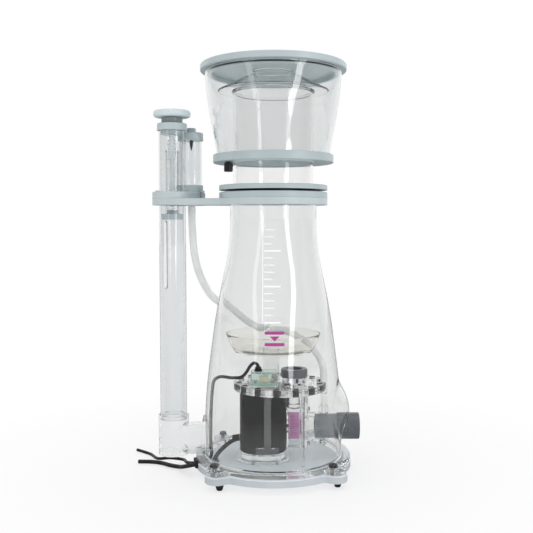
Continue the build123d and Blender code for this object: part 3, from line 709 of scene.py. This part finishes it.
BODY_AXIS = (BODY_X, BODY_Y)
GREY = (0.415, 0.485, 0.505)
MATERIALS = {
    "body": acrylic("acrylic_body", (0.957, 0.960, 0.959)),
    "thin": acrylic("acrylic_tube", (0.935, 0.943, 0.945), scratch=0.15),
    "neck": acrylic("acrylic_neck", (0.988, 0.989, 0.988), scratch=0.15, ior=1.40),
    "cup": acrylic("acrylic_cup", (0.952, 0.958, 0.958)),
    "inner": acrylic("acrylic_inner", (0.975, 0.978, 0.977), scratch=0.2, ior=1.36),
    "strap": acrylic("acrylic_strap", (0.97, 0.975, 0.975), scratch=0.2, ior=1.40, milk=0.042),
    "block": acrylic("acrylic_block", (0.975, 0.980, 0.980), scratch=0.3, ior=1.34, milk=0.10),
    "dish": acrylic("acrylic_dish", (0.985, 0.980, 0.966), scratch=0.3, ior=1.16, milk=0.03),
    "drilled": drilled("acrylic_drilled_plate", (BODY_X + 0.010, BODY_Y), rim=0.070,
                       ring_inner=0.056),
    "green_glass": acrylic("pod_green_clear", (0.90, 0.965, 0.935), scratch=0.4, ior=1.3,
                           milk=0.12),
    "spindle": acrylic("pvc_translucent_spindle", (0.93, 0.945, 0.95), scratch=0.3, ior=1.24,
                       milk=0.30),
    "grey": pvc("pvc_grey", GREY, BODY_AXIS),
    "grey_pipe": pvc("pvc_grey_riser", (0.455, 0.525, 0.545), PIPE_AXIS),
    "knob": pvc("pvc_grey_knob", (0.60, 0.68, 0.70), PIPE_AXIS),
    "arm": pvc("pvc_grey_arm", (0.49, 0.555, 0.572), BODY_AXIS),
    "grey_silencer": pvc("pvc_grey_silencer", GREY, SILENCER_AXIS),
    # base plate: side=0.70 paints shade on its upright rim
    "base": pvc("pvc_base", (0.70, 0.755, 0.79), BODY_AXIS, rough=0.42, lines=1500.0,
                side=0.70),
    "lid": pvc("pvc_lid", (0.44, 0.51, 0.53), BODY_AXIS, rough=0.34, lines=1400.0),
    # the knob's neck wears a much darker copy of the knob's grey PVC: painted shade under the
    # knob
    "knob_neck": pvc("pvc_knob_neck", (0.21, 0.245, 0.25), PIPE_AXIS, rough=0.3),
    "dark": pvc("pvc_dark_fitting", (0.108, 0.118, 0.130), rough=0.30),
    # the intake pipe wears a lighter copy of the dark fitting PVC: partly its own lighter grey,
    # partly painted light for the haze of the body wall in front of it
    "dark_pipe": pvc("pvc_dark_pipe", (0.185, 0.198, 0.215), rough=0.30),
    "rubber": rubber("rubber_black"),
    "seal": rubber("seal_black", (0.010, 0.010, 0.011), rough=0.35, grain=2500.0),
    "epoxy": epoxy("motor_epoxy"),
    "black": plastic("black_plastic", (0.014, 0.014, 0.015), rough=0.32),
    "cable": rubber("cable_jacket", (0.016, 0.016, 0.017), rough=0.38, grain=2200.0),
    "steel": steel("stainless"),
    # painted shade: a darker copy of the stainless steel, so the thumb screws reflect less light
    "knurled_steel_painted_shade": steel("stainless_knurled_painted_shade", tone=0.34),
    "hose": silicone("silicone_hose"),
    "violet": plastic("violet_plastic", (0.66, 0.31, 0.56), rough=0.42, subsurface=0.15),
    "board": circuit("circuit_green"),
    "chip": plastic("chip_black", (0.02, 0.02, 0.022)),
    "amber": plastic("component_amber", (0.62, 0.48, 0.20), rough=0.35, subsurface=0.1),
    "tin": steel("solder_tin"),
    "magnet": plastic("magnet_coating", (0.035, 0.035, 0.04), rough=0.35),
    "ceramic": plastic("ceramic_white", (0.80, 0.79, 0.76), rough=0.25, subsurface=0.1),
    "ink_white": printed("ink_white", (0.93, 0.93, 0.93)),
    "ink_violet": printed("ink_violet", (0.40, 0.045, 0.27)),
}

# CAD pieces kept as they are, by the material they wear
DRESSED = {
    "base": "base_plate",
    "rubber": "rubber_feet cable_grommet cable_boot",
    "seal": "base_o_ring cup_gasket neck_o_ring lid_seal",
    "block": "screw_bushes outlet_elbow wall_hose_fitting",
    "grey": "body_collar cup_collar cup_floor_ring",
    "arm": "support_arm riser_mount_flange",
    "grey_pipe": "arm_screws outlet_cap valve_disc level_knob",
    "grey_silencer": "silencer_base silencer_cap",
    "dark_pipe": "intake_pipe",
    "dark": "intake_socket riser_ring",
    "inner": "venturi_nipple volute volute_cover diffuser_legs",
    "epoxy": "motor_housing",
    "magnet": "rotor_magnet",
    "ceramic": "pump_shaft",
    "steel": "pump_screws",
    "strap": "pump_plinth motor_strap",
    "drilled": "diffuser_plate",
    "green_glass": "sensor_housing",
    "black": "drain_nozzle drain_plug",
    "lid": "cup_lid",
}
for key, nodes in DRESSED.items():
    for node_name in nodes.split():
        slots = NODES[node_name].data.materials
        slots.clear()
        slots.append(MATERIALS[key])


# ------------------------------------------------------------ reaction body
WALL = 4.0
# outer wall: radius, height
BODY_PROFILE = resample_profile([
    (103.0, 27.65), (103.0, 56.0), (103.0, 79.0), (102.1, 101.6), (100.75, 121.8),
    (98.9, 142.0), (95.75, 169.0), (91.8, 199.0), (87.5, 229.5), (82.4, 259.6),
    (76.2, 289.7), (70.1, 320.0), (66.3, 350.0), (64.9, 380.0), (64.8, 400.0),
], 3.0)
# top lip, from the outer wall over to the inner: radius, height
BODY_LIP = [(64.8, 400.0), (64.8, 420.4), (64.2, 421.0), (62.2, 421.0), (61.6, 420.4),
            (61.6, 400.0)]


def body_radius(z):
    for (r0, z0), (r1, z1) in zip(BODY_PROFILE, BODY_PROFILE[1:]):
        if z <= z1:
            return r0 + (r1 - r0) * max(0.0, (z - z0)) / max(1e-6, z1 - z0)
    return BODY_PROFILE[-1][0]


def bulge_radius(angle, z, inset):
    """Radius of the ellipsoid that swells the wall on the +X side, or None beyond it."""
    centre_x, centre_z = 60.0, 91.0
    half_x, half_y, half_z = 55.5 - inset, 52.0 - inset, 60.0 - inset
    level = 1.0 - ((z - centre_z) / half_z) ** 2
    if level <= 0:
        return None
    cos_a, sin_a = math.cos(angle), math.sin(angle)
    # quadratic for the radius at which the ray leaves the ellipsoid
    qa = (cos_a / half_x) ** 2 + (sin_a / half_y) ** 2
    qb = -2 * centre_x * cos_a / half_x ** 2
    qc = (centre_x / half_x) ** 2 - level
    root = qb * qb - 4 * qa * qc
    if root <= 0:
        return None
    return (-qb + math.sqrt(root)) / (2 * qa)


def blend_max(a, b, width=9.0):
    """The larger of two values, eased where they are closer than width."""
    if b is None:
        return a
    near = max(width - abs(a - b), 0.0) / width
    return max(a, b) + near * near * width * 0.25


def make_body():
    heights = [27.65, 30.0, 33.0] + [36.0 + i * 3.0 for i in range(121)]

    def wall(z):
        """The wall thins by 0.8 from z = 380 up to the lip."""
        return WALL if z < 380 else WALL - 0.8 * (z - 380) / 20.0
    outer = [(body_radius(z), z) for z in heights]
    inner = [(body_radius(z) - wall(z), z) for z in reversed(heights)]

    def swell(angle, r, z, index):
        if index < len(outer):
            return blend_max(r, bulge_radius(angle, z, 0.0))
        if index < len(outer) + len(BODY_LIP):
            return r
        return blend_max(r, bulge_radius(angle, z, WALL))
    shell = turned_ring("body_shell_clear", outer + BODY_LIP + inner, "body", segs=200,
                        wobble=swell)
    cut(shell, [
        cylinder_cutter(20.05, (80, 0, PUMP_Z), (140, 0, PUMP_Z)),
        cylinder_cutter(19.0, (-140, 0, 48.7), (-80, 0, 48.7)),
        cylinder_cutter(5.05, (-8, 70, 204), (-8, 120, 204), 40),
    ])


FLANGE_R = 116.6
EAR_R = 15.8
EAR_ANGLES = [47.5, 138.0, 229.0, 317.0]
SCREW_ANGLES = [angle - 2.5 for angle in EAR_ANGLES]
SCREW_CIRCLE_R = 121.0


def flange_radius(angle):
    r = FLANGE_R
    for ear in EAR_ANGLES:
        off = (angle - math.radians(ear) + math.pi) % (2 * math.pi) - math.pi
        if abs(off) < 0.3:
            square = EAR_R ** 2 - (SCREW_CIRCLE_R * math.sin(off)) ** 2
            if square > 0:
                r = blend_max(r, SCREW_CIRCLE_R * math.cos(off) + math.sqrt(square), 3.0)
            # a small web eases each ear into the rim
            web = max(0.0, 1.0 - abs(abs(off) - 0.125) / 0.055)
            r = max(r, FLANGE_R + 3.2 * web * web)
    return r


def make_flange():
    profile = [(99.05, 21.75), (105.0, 21.75), (116.0, 21.75), (FLANGE_R, 22.3),
               (FLANGE_R, 26.2), (116.2, 27.1), (115.2, 27.55), (105.0, 27.55), (99.05, 27.55)]

    def eared(angle, r, z, index):
        """Moves only the rim points."""
        return r + (flange_radius(angle) - FLANGE_R) if 2 <= index <= 6 else r
    flange = turned_ring("body_foot_flange_clear", profile, "block", segs=900, wobble=eared)
    cutters = []
    for angle in SCREW_ANGLES:
        spot = polar(SCREW_CIRCLE_R, angle)
        cutters.append(cylinder_cutter(3.3, (*spot, 15), (*spot, 35), 32))
    exit_plan = [(95, -9), (135, -9), (135, 9), (95, 9)]
    cutters.append(prism_cutter([at_exit(*p, 14.0) for p in exit_plan],
                                [at_exit(*p, 24.8) for p in exit_plan]))
    cut(flange, cutters)
    return flange


make_body()
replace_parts(make_flange(), "skimmer_body")

# weld bead where the wall stands on the flange
turned_ring("wall_weld_bead",
            [(103.15, 27.7), (104.6, 27.7), (104.2, 28.4), (103.5, 29.4), (103.15, 30.6)],
            "inner", segs=160)


# ------------------------------------------------------------- printed marks
def patch(bm, outline):
    """Thin printed film on the front of the body.

    outline: convex (x, z) polygon, x measured round the wall.
    """
    lift, thick = 0.10, 0.14
    inner, outer = [], []
    for x, z in outline:
        wall = body_radius(z)
        angle = math.radians(-90.0) + x / wall
        for ring, offset in ((inner, lift), (outer, lift + thick)):
            r = wall + offset
            ring.append(bm.verts.new((r * math.cos(angle), r * math.sin(angle), z)))
    bm.faces.new(outer)
    bm.faces.new(list(reversed(inner)))
    count = len(outline)
    for k in range(count):
        l = (k + 1) % count
        bm.faces.new((inner[k], inner[l], outer[l], outer[k]))


def bar(bm, x0, x1, z0, z1):
    """Bar with clipped corners, split into narrow strips that follow the round wall."""
    clip = (z1 - z0) / 2.0 * 0.45
    count = max(1, int(math.ceil((x1 - x0) / 3.0)))
    for i in range(count):
        a = x0 + (x1 - x0) * i / count
        b = x0 + (x1 - x0) * (i + 1) / count
        outline = [(a, z0), (b, z0), (b, z1), (a, z1)]
        if count > 1 and i == 0:
            outline = [(a + clip, z0), (b, z0), (b, z1), (a + clip, z1),
                       (a, z1 - clip), (a, z0 + clip)]
        elif count > 1 and i == count - 1:
            outline = [(a, z0), (b - clip, z0), (b, z0 + clip), (b, z1 - clip),
                       (b - clip, z1), (a, z1)]
        patch(bm, outline)


def level_scale():
    bm = bmesh.new()
    for i in range(14):
        z = 236.0 + i * 10.0
        if i % 5 == 0:
            bar(bm, -13.0, 11.0, z - 1.15, z + 1.15)
        else:
            bar(bm, -13.0, -1.0 if i % 5 in (1, 4) else 2.0, z - 0.7, z + 0.7)
    for i in range(26):              # upright spine
        bar(bm, -15.6, -14.4, 235.0 + i * 5.06, 235.0 + (i + 1) * 5.06)
    return bm_piece("level_scale_print", bm, ["ink_white"])


def level_marker():
    """Two bars with a triangle pointing down between them."""
    bm = bmesh.new()
    for z in (203.4, 219.4):
        bar(bm, -12.0, 16.0, z, z + 4.4)
    middle, top, row, narrowing = 2.0, 216.9, 1.7, 1.75
    for i in range(4):
        half = 7.0 - i * narrowing
        half_below = half - narrowing
        high = top - i * row
        low = high - row
        if i < 3:
            below = [(middle - half_below, low), (middle + half_below, low)]
        else:
            below = [(middle, low)]
        patch(bm, below + [(middle + half, high), (middle - half, high)])
    return bm_piece("level_marker_print", bm, ["ink_violet"])


level_scale()
level_marker()


# --------------------------------------------------------------- clear turned parts
def tube(name, axis, outer, inner, z0, z1, segs, material="inner", body="root"):
    soft = 0.5                       # chamfer at both ends
    middle = (z0 + z1) / 2
    profile = [(inner, z0 + soft), (inner + soft, z0), (outer - soft, z0), (outer, z0 + soft),
               (outer, middle), (outer, z1 - soft), (outer - soft, z1), (inner + soft, z1),
               (inner, z1 - soft), (inner, middle)]
    return turned_ring(name, profile, material, segs, axis, body)


CUP_WALL = 3.0
# outer wall of the cup: radius, height
CUP_PROFILE = resample_profile([
    (84.6, 476.6), (86.2, 490.0), (88.0, 500.0), (92.1, 521.0), (95.7, 542.0), (98.6, 562.0),
    (101.3, 592.0), (101.6, 599.3),
], 3.0)[:-1]
CUP_LIP = [(101.5, 598.9), (101.1, 599.35), (99.3, 599.35), (98.9, 598.9)]
NECK_PROFILE = [
    (57.0, 413.2), (57.7, 412.6), (59.3, 412.6), (60.0, 413.2), (60.0, 440.0), (60.0, 500.0),
    (60.0, 560.0), (60.0, 566.4), (61.2, 567.5), (61.6, 568.3), (61.6, 570.6), (60.9, 571.4),
    (57.9, 571.4), (57.0, 570.7), (57.0, 560.0), (57.0, 500.0), (57.0, 440.0),
]
DEFLECTOR_PROFILE = [
    (26.0, 599.35), (30.6, 599.35), (31.0, 598.6), (31.7, 597.0), (45.0, 590.2),
    (60.0, 582.5), (75.0, 574.8), (82.2, 571.2), (82.4, 570.7), (81.0, 569.6), (80.5, 569.5),
    (70.0, 574.6), (55.0, 582.2), (40.0, 589.8), (28.4, 595.6), (26.3, 597.4), (26.0, 598.0),
]
DISH_PROFILE = [
    (0, 182.1), (30.0, 182.1), (56.5, 182.1), (58.2, 182.6), (61.0, 186.5), (64.5, 192.0),
    (67.6, 199.0), (70.2, 206.0), (71.3, 209.2), (71.0, 209.9), (69.6, 209.9), (69.0, 209.3),
    (67.4, 205.0), (64.6, 198.2), (61.4, 191.6), (58.0, 187.0), (56.2, 185.2), (30.0, 184.9),
    (0, 184.9),
]


def slotted_riser_pipe():
    """Outlet riser with an upright round-ended slot through one wall."""
    pipe = tube("riser_pipe_clear", PIPE, 20.0, 17.0, 79.1, 512.9, 128, "thin")
    bearing = math.radians(140.0)
    slot_r, slot_top, slot_bottom = 4.5, 374.0, 280.0
    outline = []                     # distance across the slot, height
    for z, sign in ((slot_top, 1), (slot_bottom, -1)):
        for k in range(17):
            angle = math.pi * k / 16.0
            outline.append((slot_r * math.cos(angle) * sign, z + slot_r * math.sin(angle) * sign))

    def ring(distance):
        return [(PIPE[0] + distance * math.cos(bearing) - across * math.sin(bearing),
                 PIPE[1] + distance * math.sin(bearing) + across * math.cos(bearing), z)
                for across, z in outline]
    cutter = prism_cutter(ring(6.0), ring(28.0))
    face_outward(cutter.data)
    cut(pipe, [cutter])
    return pipe


cup_inside = [(r - CUP_WALL, z) for r, z in reversed(CUP_PROFILE)]
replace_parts(turned_ring("cup_wall_clear", CUP_PROFILE + CUP_LIP + cup_inside, "cup", 200,
                        body="cup"), "cup_shell")
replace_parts(turned_ring("cup_neck_clear", NECK_PROFILE, "neck", 180, body="cup"), "cup_neck")
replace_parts(turned_ring("deflector_clear", DEFLECTOR_PROFILE, "neck", 180, body="lid"),
            "lid_deflector")
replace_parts(slotted_riser_pipe(), "outlet_pipe")
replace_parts(tube("silencer_tube_clear", SILENCER, 16.0, 13.5, 428.25, 500.9, 112, "thin"),
            "silencer_tube")
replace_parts(tube("valve_stem_clear", PIPE, 10.5, 8.0, 389.2, 481.8, 96, body="level_valve"),
            "valve_stem")
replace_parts(tube("pump_riser_clear", PUMP_RISER, 18.6, 16.0, 116.3, 142.9, 96),
            "pump_riser_tube")
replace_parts(tube("dish_stem_clear", DISH_STEM, 13.0, 11.0, 136.2, 181.8, 96), "dish_stem")
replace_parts(turned_cap("bubble_dish_clear", DISH_PROFILE, "dish", 160), "bubble_dish")


# ------------------------------------------------------ level spindle and knob
def grip(angle, r):
    """28 soft finger grooves round the knob's rim."""
    return r - 0.55 * (0.5 + 0.5 * math.cos(angle * 28)) ** 3 if r > 27.0 else r


def flutes(angle, r):
    """14 flutes round the air screw's head."""
    return r - 0.6 * (0.5 + 0.5 * math.cos(angle * 14)) ** 2 if r > 6.4 else r


KNOB_PROFILE = [
    (0, 532.7), (14.0, 532.7), (24.4, 532.7), (26.2, 533.4), (27.3, 534.9), (27.6, 536.0),
    (27.6, 539.2), (27.2, 540.8), (26.2, 541.9), (24.6, 542.5), (22.2, 542.6), (20.9, 542.2),
    (19.8, 541.8), (10.0, 541.8), (0, 541.8),
]
KNOB_NECK_PROFILE = [
    (0, 524.1), (14.6, 524.1), (15.4, 524.6), (15.8, 525.6), (15.8, 531.0), (15.4, 532.1),
    (14.8, 532.6), (0, 532.6),
]
NUT_PROFILE = [
    (0, 470.2), (7.2, 470.2), (7.8, 470.8), (7.8, 481.9), (10.2, 481.95), (10.5, 482.3),
    (10.5, 483.6), (10.1, 484.05), (0, 484.1),
]
AIR_SCREW_PROFILE = [
    (0, 513.7), (5.8, 513.7), (6.7, 514.2), (7.0, 515.0), (7.0, 519.2), (6.6, 520.0),
    (5.9, 520.4), (3.6, 520.4), (3.2, 519.9), (0, 519.9),
]
NEEDLE_PROFILE = [
    (0, 486.1), (0.5, 486.6), (1.0, 488.5), (2.5, 495.5), (2.9, 501.0), (2.9, 513.6),
    (0, 513.65),
]

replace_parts(threaded("level_spindle_thread", radius=3.95, depth=0.8, pitch=4.0, starts=3,
                     z0=400.5, z1=531.0, segs=36, body="level_dial"), "level_spindle")
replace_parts(turned_cap("level_knob_disc", KNOB_PROFILE, "knob", 224, PIPE, "level_dial", grip),
            "level_knob")
turned_cap("level_knob_neck", KNOB_NECK_PROFILE, "knob_neck", 96, PIPE, "level_dial")
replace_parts(threaded("valve_nut_thread", radius=7.4, depth=0.7, pitch=3.0, starts=1,
                     z0=484.2, z1=499.0, segs=48, body="level_valve"), "valve_nut")
turned_cap("valve_nut_flange", NUT_PROFILE, "spindle", 72, PIPE, "level_valve")
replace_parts(turned_cap("air_screw_head", AIR_SCREW_PROFILE, "grey_silencer", 140, SILENCER,
                       "air_screw", flutes), "silencer_air_screw")
turned_cap("air_screw_needle", NEEDLE_PROFILE, "black", 40, SILENCER, "air_screw")


# ------------------------------------------------------- knurled thumb screws
def thumb_screws():
    shank = [(0, 11.1), (2.3, 11.1), (2.9, 11.9), (2.9, 30.6), (0, 30.65)]
    head = [(0, 30.7), (4.8, 30.3), (5.9, 30.7), (6.4, 31.3), (6.4, 34.1), (5.9, 34.9),
            (4.9, 35.35), (2.6, 35.35), (2.2, 34.8), (2.2, 33.8), (0, 33.8)]

    def knurl(k, r):
        return r - 0.35 if k % 4 in (0, 1) and r > 6.2 else r
    bm = bmesh.new()
    for angle in SCREW_ANGLES:
        origin = (*polar(SCREW_CIRCLE_R, angle), 0)
        turned_part(bm, shank, origin, 24)
        turned_part(bm, head, origin, 80, wobble=knurl)
    return bm_piece("thumb_screws_knurled", bm, ["knurled_steel_painted_shade"], sharp=28.0)


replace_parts(thumb_screws(), "flange_thumb_screws")


# ------------------------------------------------------------- needle wheel
def needle_wheel():
    """Disc and hub along X, with rings of tapered pins."""
    wheel = [(0, 23.0), (19.6, 23.0), (20.2, 23.3), (20.2, 24.7), (19.6, 25.0), (7.5, 25.0),
             (6.0, 26.0), (6.0, 39.2), (5.2, 40.0), (3.0, 40.0), (0, 40.05)]
    pin = [(0, 24.9), (0.78, 24.9), (0.66, 38.9), (0.35, 39.7), (0, 39.8)]
    # radius of each pin ring, number of pins
    rings = ((19.2, 44), (17.0, 38), (14.8, 32), (12.6, 26), (10.4, 20), (8.3, 14))
    bm = bmesh.new()
    turned_part(bm, wheel, (0, 0, PUMP_Z), 96, along_x=True)
    for ring_r, count in rings:
        for i in range(count):
            y, z = polar(ring_r, 360.0 * i / count + ring_r * 7)
            turned_part(bm, pin, (0, y, PUMP_Z + z), 8, along_x=True)
    return bm_piece("needle_wheel_pins", bm, ["violet"], body="rotor", sharp=40.0)


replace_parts(needle_wheel(), "needle_wheel")


# --------------------------------------------------------------- hoses, cables
AIR_HOSE_R = 5.75


def hose_radius(s, total):
    """Air hose: a swelling near each end and a slight ripple."""
    end = min(s, total - s)
    return AIR_HOSE_R + 0.35 * math.exp(-((end - 6.0) / 4.0) ** 2) + 0.05 * math.sin(s * 0.21)


def cord_radius(mean):
    """Cable: a slight unevenness along its length."""
    return lambda s, total: mean * (1.0 + 0.012 * math.sin(s * 0.35)
                                    + 0.008 * math.sin(s * 0.083 + 1.0))


# paths: x, y, z
AIR_HOSE_PATH = [
    (SILENCER[0], SILENCER[1], 401.4), (SILENCER[0] + 0.6, SILENCER[1] + 0.4, 372.0),
    (-122.0, 34.0, 328.0), (-116.0, 45.0, 298.0), (-102.0, 68.0, 264.0),
    (-90.0, 82.0, 250.0), (-70.0, 97.0, 235.0), (-46.0, 102.5, 216.0),
    (-26.0, 99.6, 205.0), (-15.2, 99.0, 204.0),
]
INNER_HOSE_PATH = [
    (-1.8, 79.0, 204.0), (8.0, 79.0, 203.6), (24.0, 75.2, 200.5), (46.0, 64.6, 191.5),
    (64.0, 46.0, 177.5), (74.0, 26.0, 163.5), (77.0, 9.0, 151.0), (77.0, 0.6, 138.5),
    (77.0, 0.0, 129.0), (77.0, 0.0, 119.6),
]
MOTOR_CABLE_PATH = [
    (-50.8, -14.0, 53.0), (-66.0, -18.5, 46.0), (-82.0, -21.5, 31.0),
    at_exit(93.0, 4.2, 20.6), at_exit(101.0, 4.2, 18.0), at_exit(108.0, 4.2, 17.9),
    at_exit(116.0, 4.2, 17.9), at_exit(122.5, 4.2, 17.6),
    (-133.0, -25.0, 11.5), (-143.5, -4.0, 4.4), (-158.0, 5.0, 3.7), (-173.0, 17.0, 3.5),
    (-190.0, 23.0, 3.5), (-211.0, 24.0, 3.5),
]
SENSOR_CABLE_PATH = [
    (-22.0, -30.0, 157.6), (-22.0, -30.0, 160.2), (-22.0, -30.0, 162.8),
    (-23.0, -30.0, 166.6), (-28.0, -30.3, 169.0), (-34.0, -30.7, 164.0),
    (-38.5, -31.0, 156.5), (-46.0, -31.0, 148.5), (-60.0, -29.0, 146.5),
    (-78.0, -26.0, 147.5), (-87.0, -22.2, 141.0), (-90.2, -21.0, 124.0),
    (-92.2, -21.4, 90.0), (-92.6, -22.6, 56.0),
    at_exit(94.5, -4.4, 26.5), at_exit(101.0, -4.4, 18.3), at_exit(108.0, -4.4, 17.9),
    at_exit(116.0, -4.4, 17.9), at_exit(122.5, -4.4, 17.6),
    (-129.5, -16.0, 15.0), (-139.0, 11.0, 11.0), (-160.0, 19.5, 10.8),
    (-181.0, 35.0, 5.0), (-198.0, 66.0, 2.7), (-224.0, 90.0, 2.7),
]

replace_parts(sweep("air_hose_tube", AIR_HOSE_PATH, AIR_HOSE_R, "hose", segs=36, step=2.5,
                  bore=4.0, vary=hose_radius), "air_hose")
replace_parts(sweep("inner_hose_tube", INNER_HOSE_PATH, 5.6, "hose", segs=32, step=2.5,
                  bore=4.0), "inner_air_hose")
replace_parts(sweep("motor_cable_jacket", MOTOR_CABLE_PATH, 3.15, "cable", segs=24,
                  vary=cord_radius(3.12)), "motor_cable")
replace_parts(sweep("sensor_cable_jacket", SENSOR_CABLE_PATH, 2.4, "cable", segs=22,
                  vary=cord_radius(2.38)), "sensor_cable")


def motor_cable_gland():
    """Ribbed gland where the motor cable enters the casing, tapering towards -X."""
    profile = [(0, -0.2)]
    for i in range(5):
        x = -i * 2.2
        rib, groove = 5.4 - i * 0.32, 4.4 - i * 0.2
        profile += [(rib, x - 0.3), (rib, x - 1.4), (groove, x - 1.7), (groove, x - 2.2)]
    profile += [(0, -11.4)]
    bm = bmesh.new()
    turned_part(bm, profile, (-50.3, -14.0, 53.0), 36, along_x=True)
    return bm_piece("motor_cable_gland", bm, ["rubber"])


motor_cable_gland()


# ------------------------------------------------------------ pod electronics
def pod_board():
    board, amber, can, chip, solder = range(5)       # material slots
    # x0, x1, y0, y1, z0, z1, bevel, slot
    blocks = [
        (-30.0, 4.0, -43.0, -15.0, 139.5, 141.1, 0.25, board),
        (-20.5, -6.5, -36.0, -24.0, 141.15, 149.0, 0.8, amber),
        (-19.0, -8.0, -34.5, -25.5, 149.05, 150.6, 0.5, can),
        (-4.0, 2.0, -40.0, -32.0, 141.15, 143.0, 0.2, chip),
        (-28.0, -24.0, -41.0, -31.0, 141.15, 144.0, 0.2, chip),
    ]
    for i in range(6):               # leads on both sides of the chip
        y = i * 1.35
        for x0, x1 in ((-4.6, -4.05), (2.05, 2.6)):
            blocks.append((x0, x1, -39.6 + y, -39.0 + y, 141.12, 141.7, 0.0, solder))
    tall_can = [(0, 141.12), (2.3, 141.12), (2.5, 141.5), (2.5, 148.6), (2.2, 149.2),
                (0, 149.2)]
    bead = [(0, 141.12), (1.5, 141.12), (1.5, 144.6), (1.1, 145.6), (0, 145.9)]
    joint = [(0, 141.1), (0.55, 141.1), (0.4, 141.5), (0, 141.7)]
    bm = bmesh.new()
    for block in blocks:
        box_part(bm, *block)
    turned_part(bm, tall_can, (0.0, -23.0, 0), 24, chip)
    turned_part(bm, bead, (-2.0, -28.5, 0), 20, amber)
    for i in range(7):
        turned_part(bm, joint, (-27.0 + i * 4.2, -17.2, 0), 10, solder)
    return bm_piece("pod_board_parts", bm, ["board", "amber", "tin", "chip", "tin"])


def boot_ribs():
    """Ribs round the pod's cable boot."""
    bm = bmesh.new()
    for i in range(3):
        z = 159.7 + i * 1.35
        r = 5.0 - i * 0.22
        rib = [(0, z), (r - 0.3, z), (r, z + 0.3), (r, z + 0.6), (r - 0.3, z + 0.9),
               (0, z + 0.9)]
        turned_part(bm, rib, (-22.0, -30.0, 0), 28)
    return bm_piece("boot_ribs", bm, ["rubber"])


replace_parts(pod_board(), "sensor_board")
boot_ribs()


# --------------------------------------------------------- stage, light, camera
def floor_paper():
    """White paper that glows to pure white far out and looks dark in reflections."""
    net = new_material("studio_floor_paper")
    distance, _ = net.radial((0.0, 0.0))
    drift = net.noise(net.coords(), scale=3.0, detail=3.0)
    paper = net.node("BsdfDiffuse", Color=net.mix(net.spread(drift), (0.80, 0.80, 0.80),
                                                  (0.82, 0.82, 0.82)))
    glow = net.node("Emission", Color=(1, 1, 1), Strength=1.0)
    surface = net.mix_shader(net.remap(distance, span=(0.10, 0.60), to=(0.62, 1.0)),
                             paper, glow)
    rays = net.node("LightPath").outputs
    dark = net.node("BsdfDiffuse", Color=(0.10, 0.10, 0.10))
    reflected = net.calc("MULTIPLY", net.calc("MULTIPLY", rays["Is Glossy Ray"], 0.92),
                         net.calc("SUBTRACT", 1.0, rays["Is Transmission Ray"]))
    return net.finish(net.mix_shader(reflected, surface, dark))


def make_world():
    """White to the camera, near white to diffuse rays; others see it by camera depth."""
    world = bpy.data.worlds.new("studio")
    bpy.context.scene.world = world
    net = Nodes(world, "OutputWorld")
    direction = net.vector_calc("NORMALIZE", net.node("TexCoord").outputs["Camera"])
    depth = net.separate(direction)["Z"]
    glow = net.remap(depth, span=(0.25, 0.80), to=(0.0, 0.72), curve="SMOOTHSTEP")
    ambient = net.remap(depth, span=(-0.85, -0.15), to=(0.08, 0.28))
    rays = net.node("LightPath").outputs
    direct = net.calc("MAXIMUM", net.calc("MULTIPLY", rays["Is Diffuse Ray"], 0.92),
                      rays["Is Camera Ray"])
    level = net.calc("MAXIMUM", net.calc("ADD", glow, ambient), direct)
    grey = net.node("CombineColor", Red=level, Green=level, Blue=level)
    net.finish(net.node("Background", Color=grey, Strength=1.0))


def make_camera():
    data = bpy.data.cameras.new("camera")
    camera = bpy.data.objects.new("camera", data)
    bpy.context.scene.collection.objects.link(camera)
    data.sensor_width = 36.0
    data.lens = 52.10881801
    data.clip_end = 60.0
    camera.location = (BODY_X, BODY_Y - 1.161, 0.374)
    # tipped down 3.153 degrees and turned 0.497 degrees
    camera.rotation_euler = (math.radians(90.0 - 3.153), 0.0, math.radians(0.497))
    bpy.context.scene.camera = camera
    return camera


def softbox(name, camera, azimuth, elevation, distance, width, height, watts):
    """Area light aimed at the body, azimuth from -Y towards +X; it travels with the camera."""
    data = bpy.data.lights.new(name, "AREA")
    data.shape = "RECTANGLE"
    data.size, data.size_y = width, height
    data.energy = watts
    light = bpy.data.objects.new(name, data)
    bpy.context.scene.collection.objects.link(light)
    turn, rise = math.radians(azimuth), math.radians(elevation)
    target = Vector((BODY_X, BODY_Y, 0.30))
    bearing = Vector((math.sin(turn) * math.cos(rise), -math.cos(turn) * math.cos(rise),
                      math.sin(rise)))
    position = target + bearing * distance
    aim = (target - position).to_track_quat("-Z", "Z").to_matrix().to_4x4()
    light.matrix_world = Matrix.Translation(position) @ aim
    light.parent = camera
    light.matrix_parent_inverse = camera.matrix_world.inverted()


bpy.ops.mesh.primitive_plane_add(size=24.0, location=(BODY_X, BODY_Y, -0.0004))
floor = bpy.context.object
floor.name = "studio_floor"
floor.data.materials.append(floor_paper())

make_world()
camera = make_camera()
bpy.context.view_layer.update()
softbox("key_strip_right", camera, azimuth=42.0, elevation=12.0, distance=1.7,
        width=0.24, height=1.3, watts=5.0)
softbox("fill_strip_left", camera, azimuth=-40.0, elevation=14.0, distance=1.8,
        width=0.22, height=1.1, watts=1.2)
softbox("top_box", camera, azimuth=0.0, elevation=80.0, distance=1.9,
        width=1.6, height=1.6, watts=6.0)

scene = bpy.context.scene
scene.view_settings.view_transform = "Standard"
scene.view_settings.look = "None"
# many bounces, as light crosses several clear walls one behind another
scene.cycles.max_bounces = 40
scene.cycles.transmission_bounces = 40
scene.cycles.transparent_max_bounces = 48
scene.cycles.glossy_bounces = 8
scene.cycles.diffuse_bounces = 4
scene.cycles.caustics_reflective = False
scene.cycles.caustics_refractive = False
scene.cycles.blur_glossy = 0.5

bpy.context.view_layer.update()
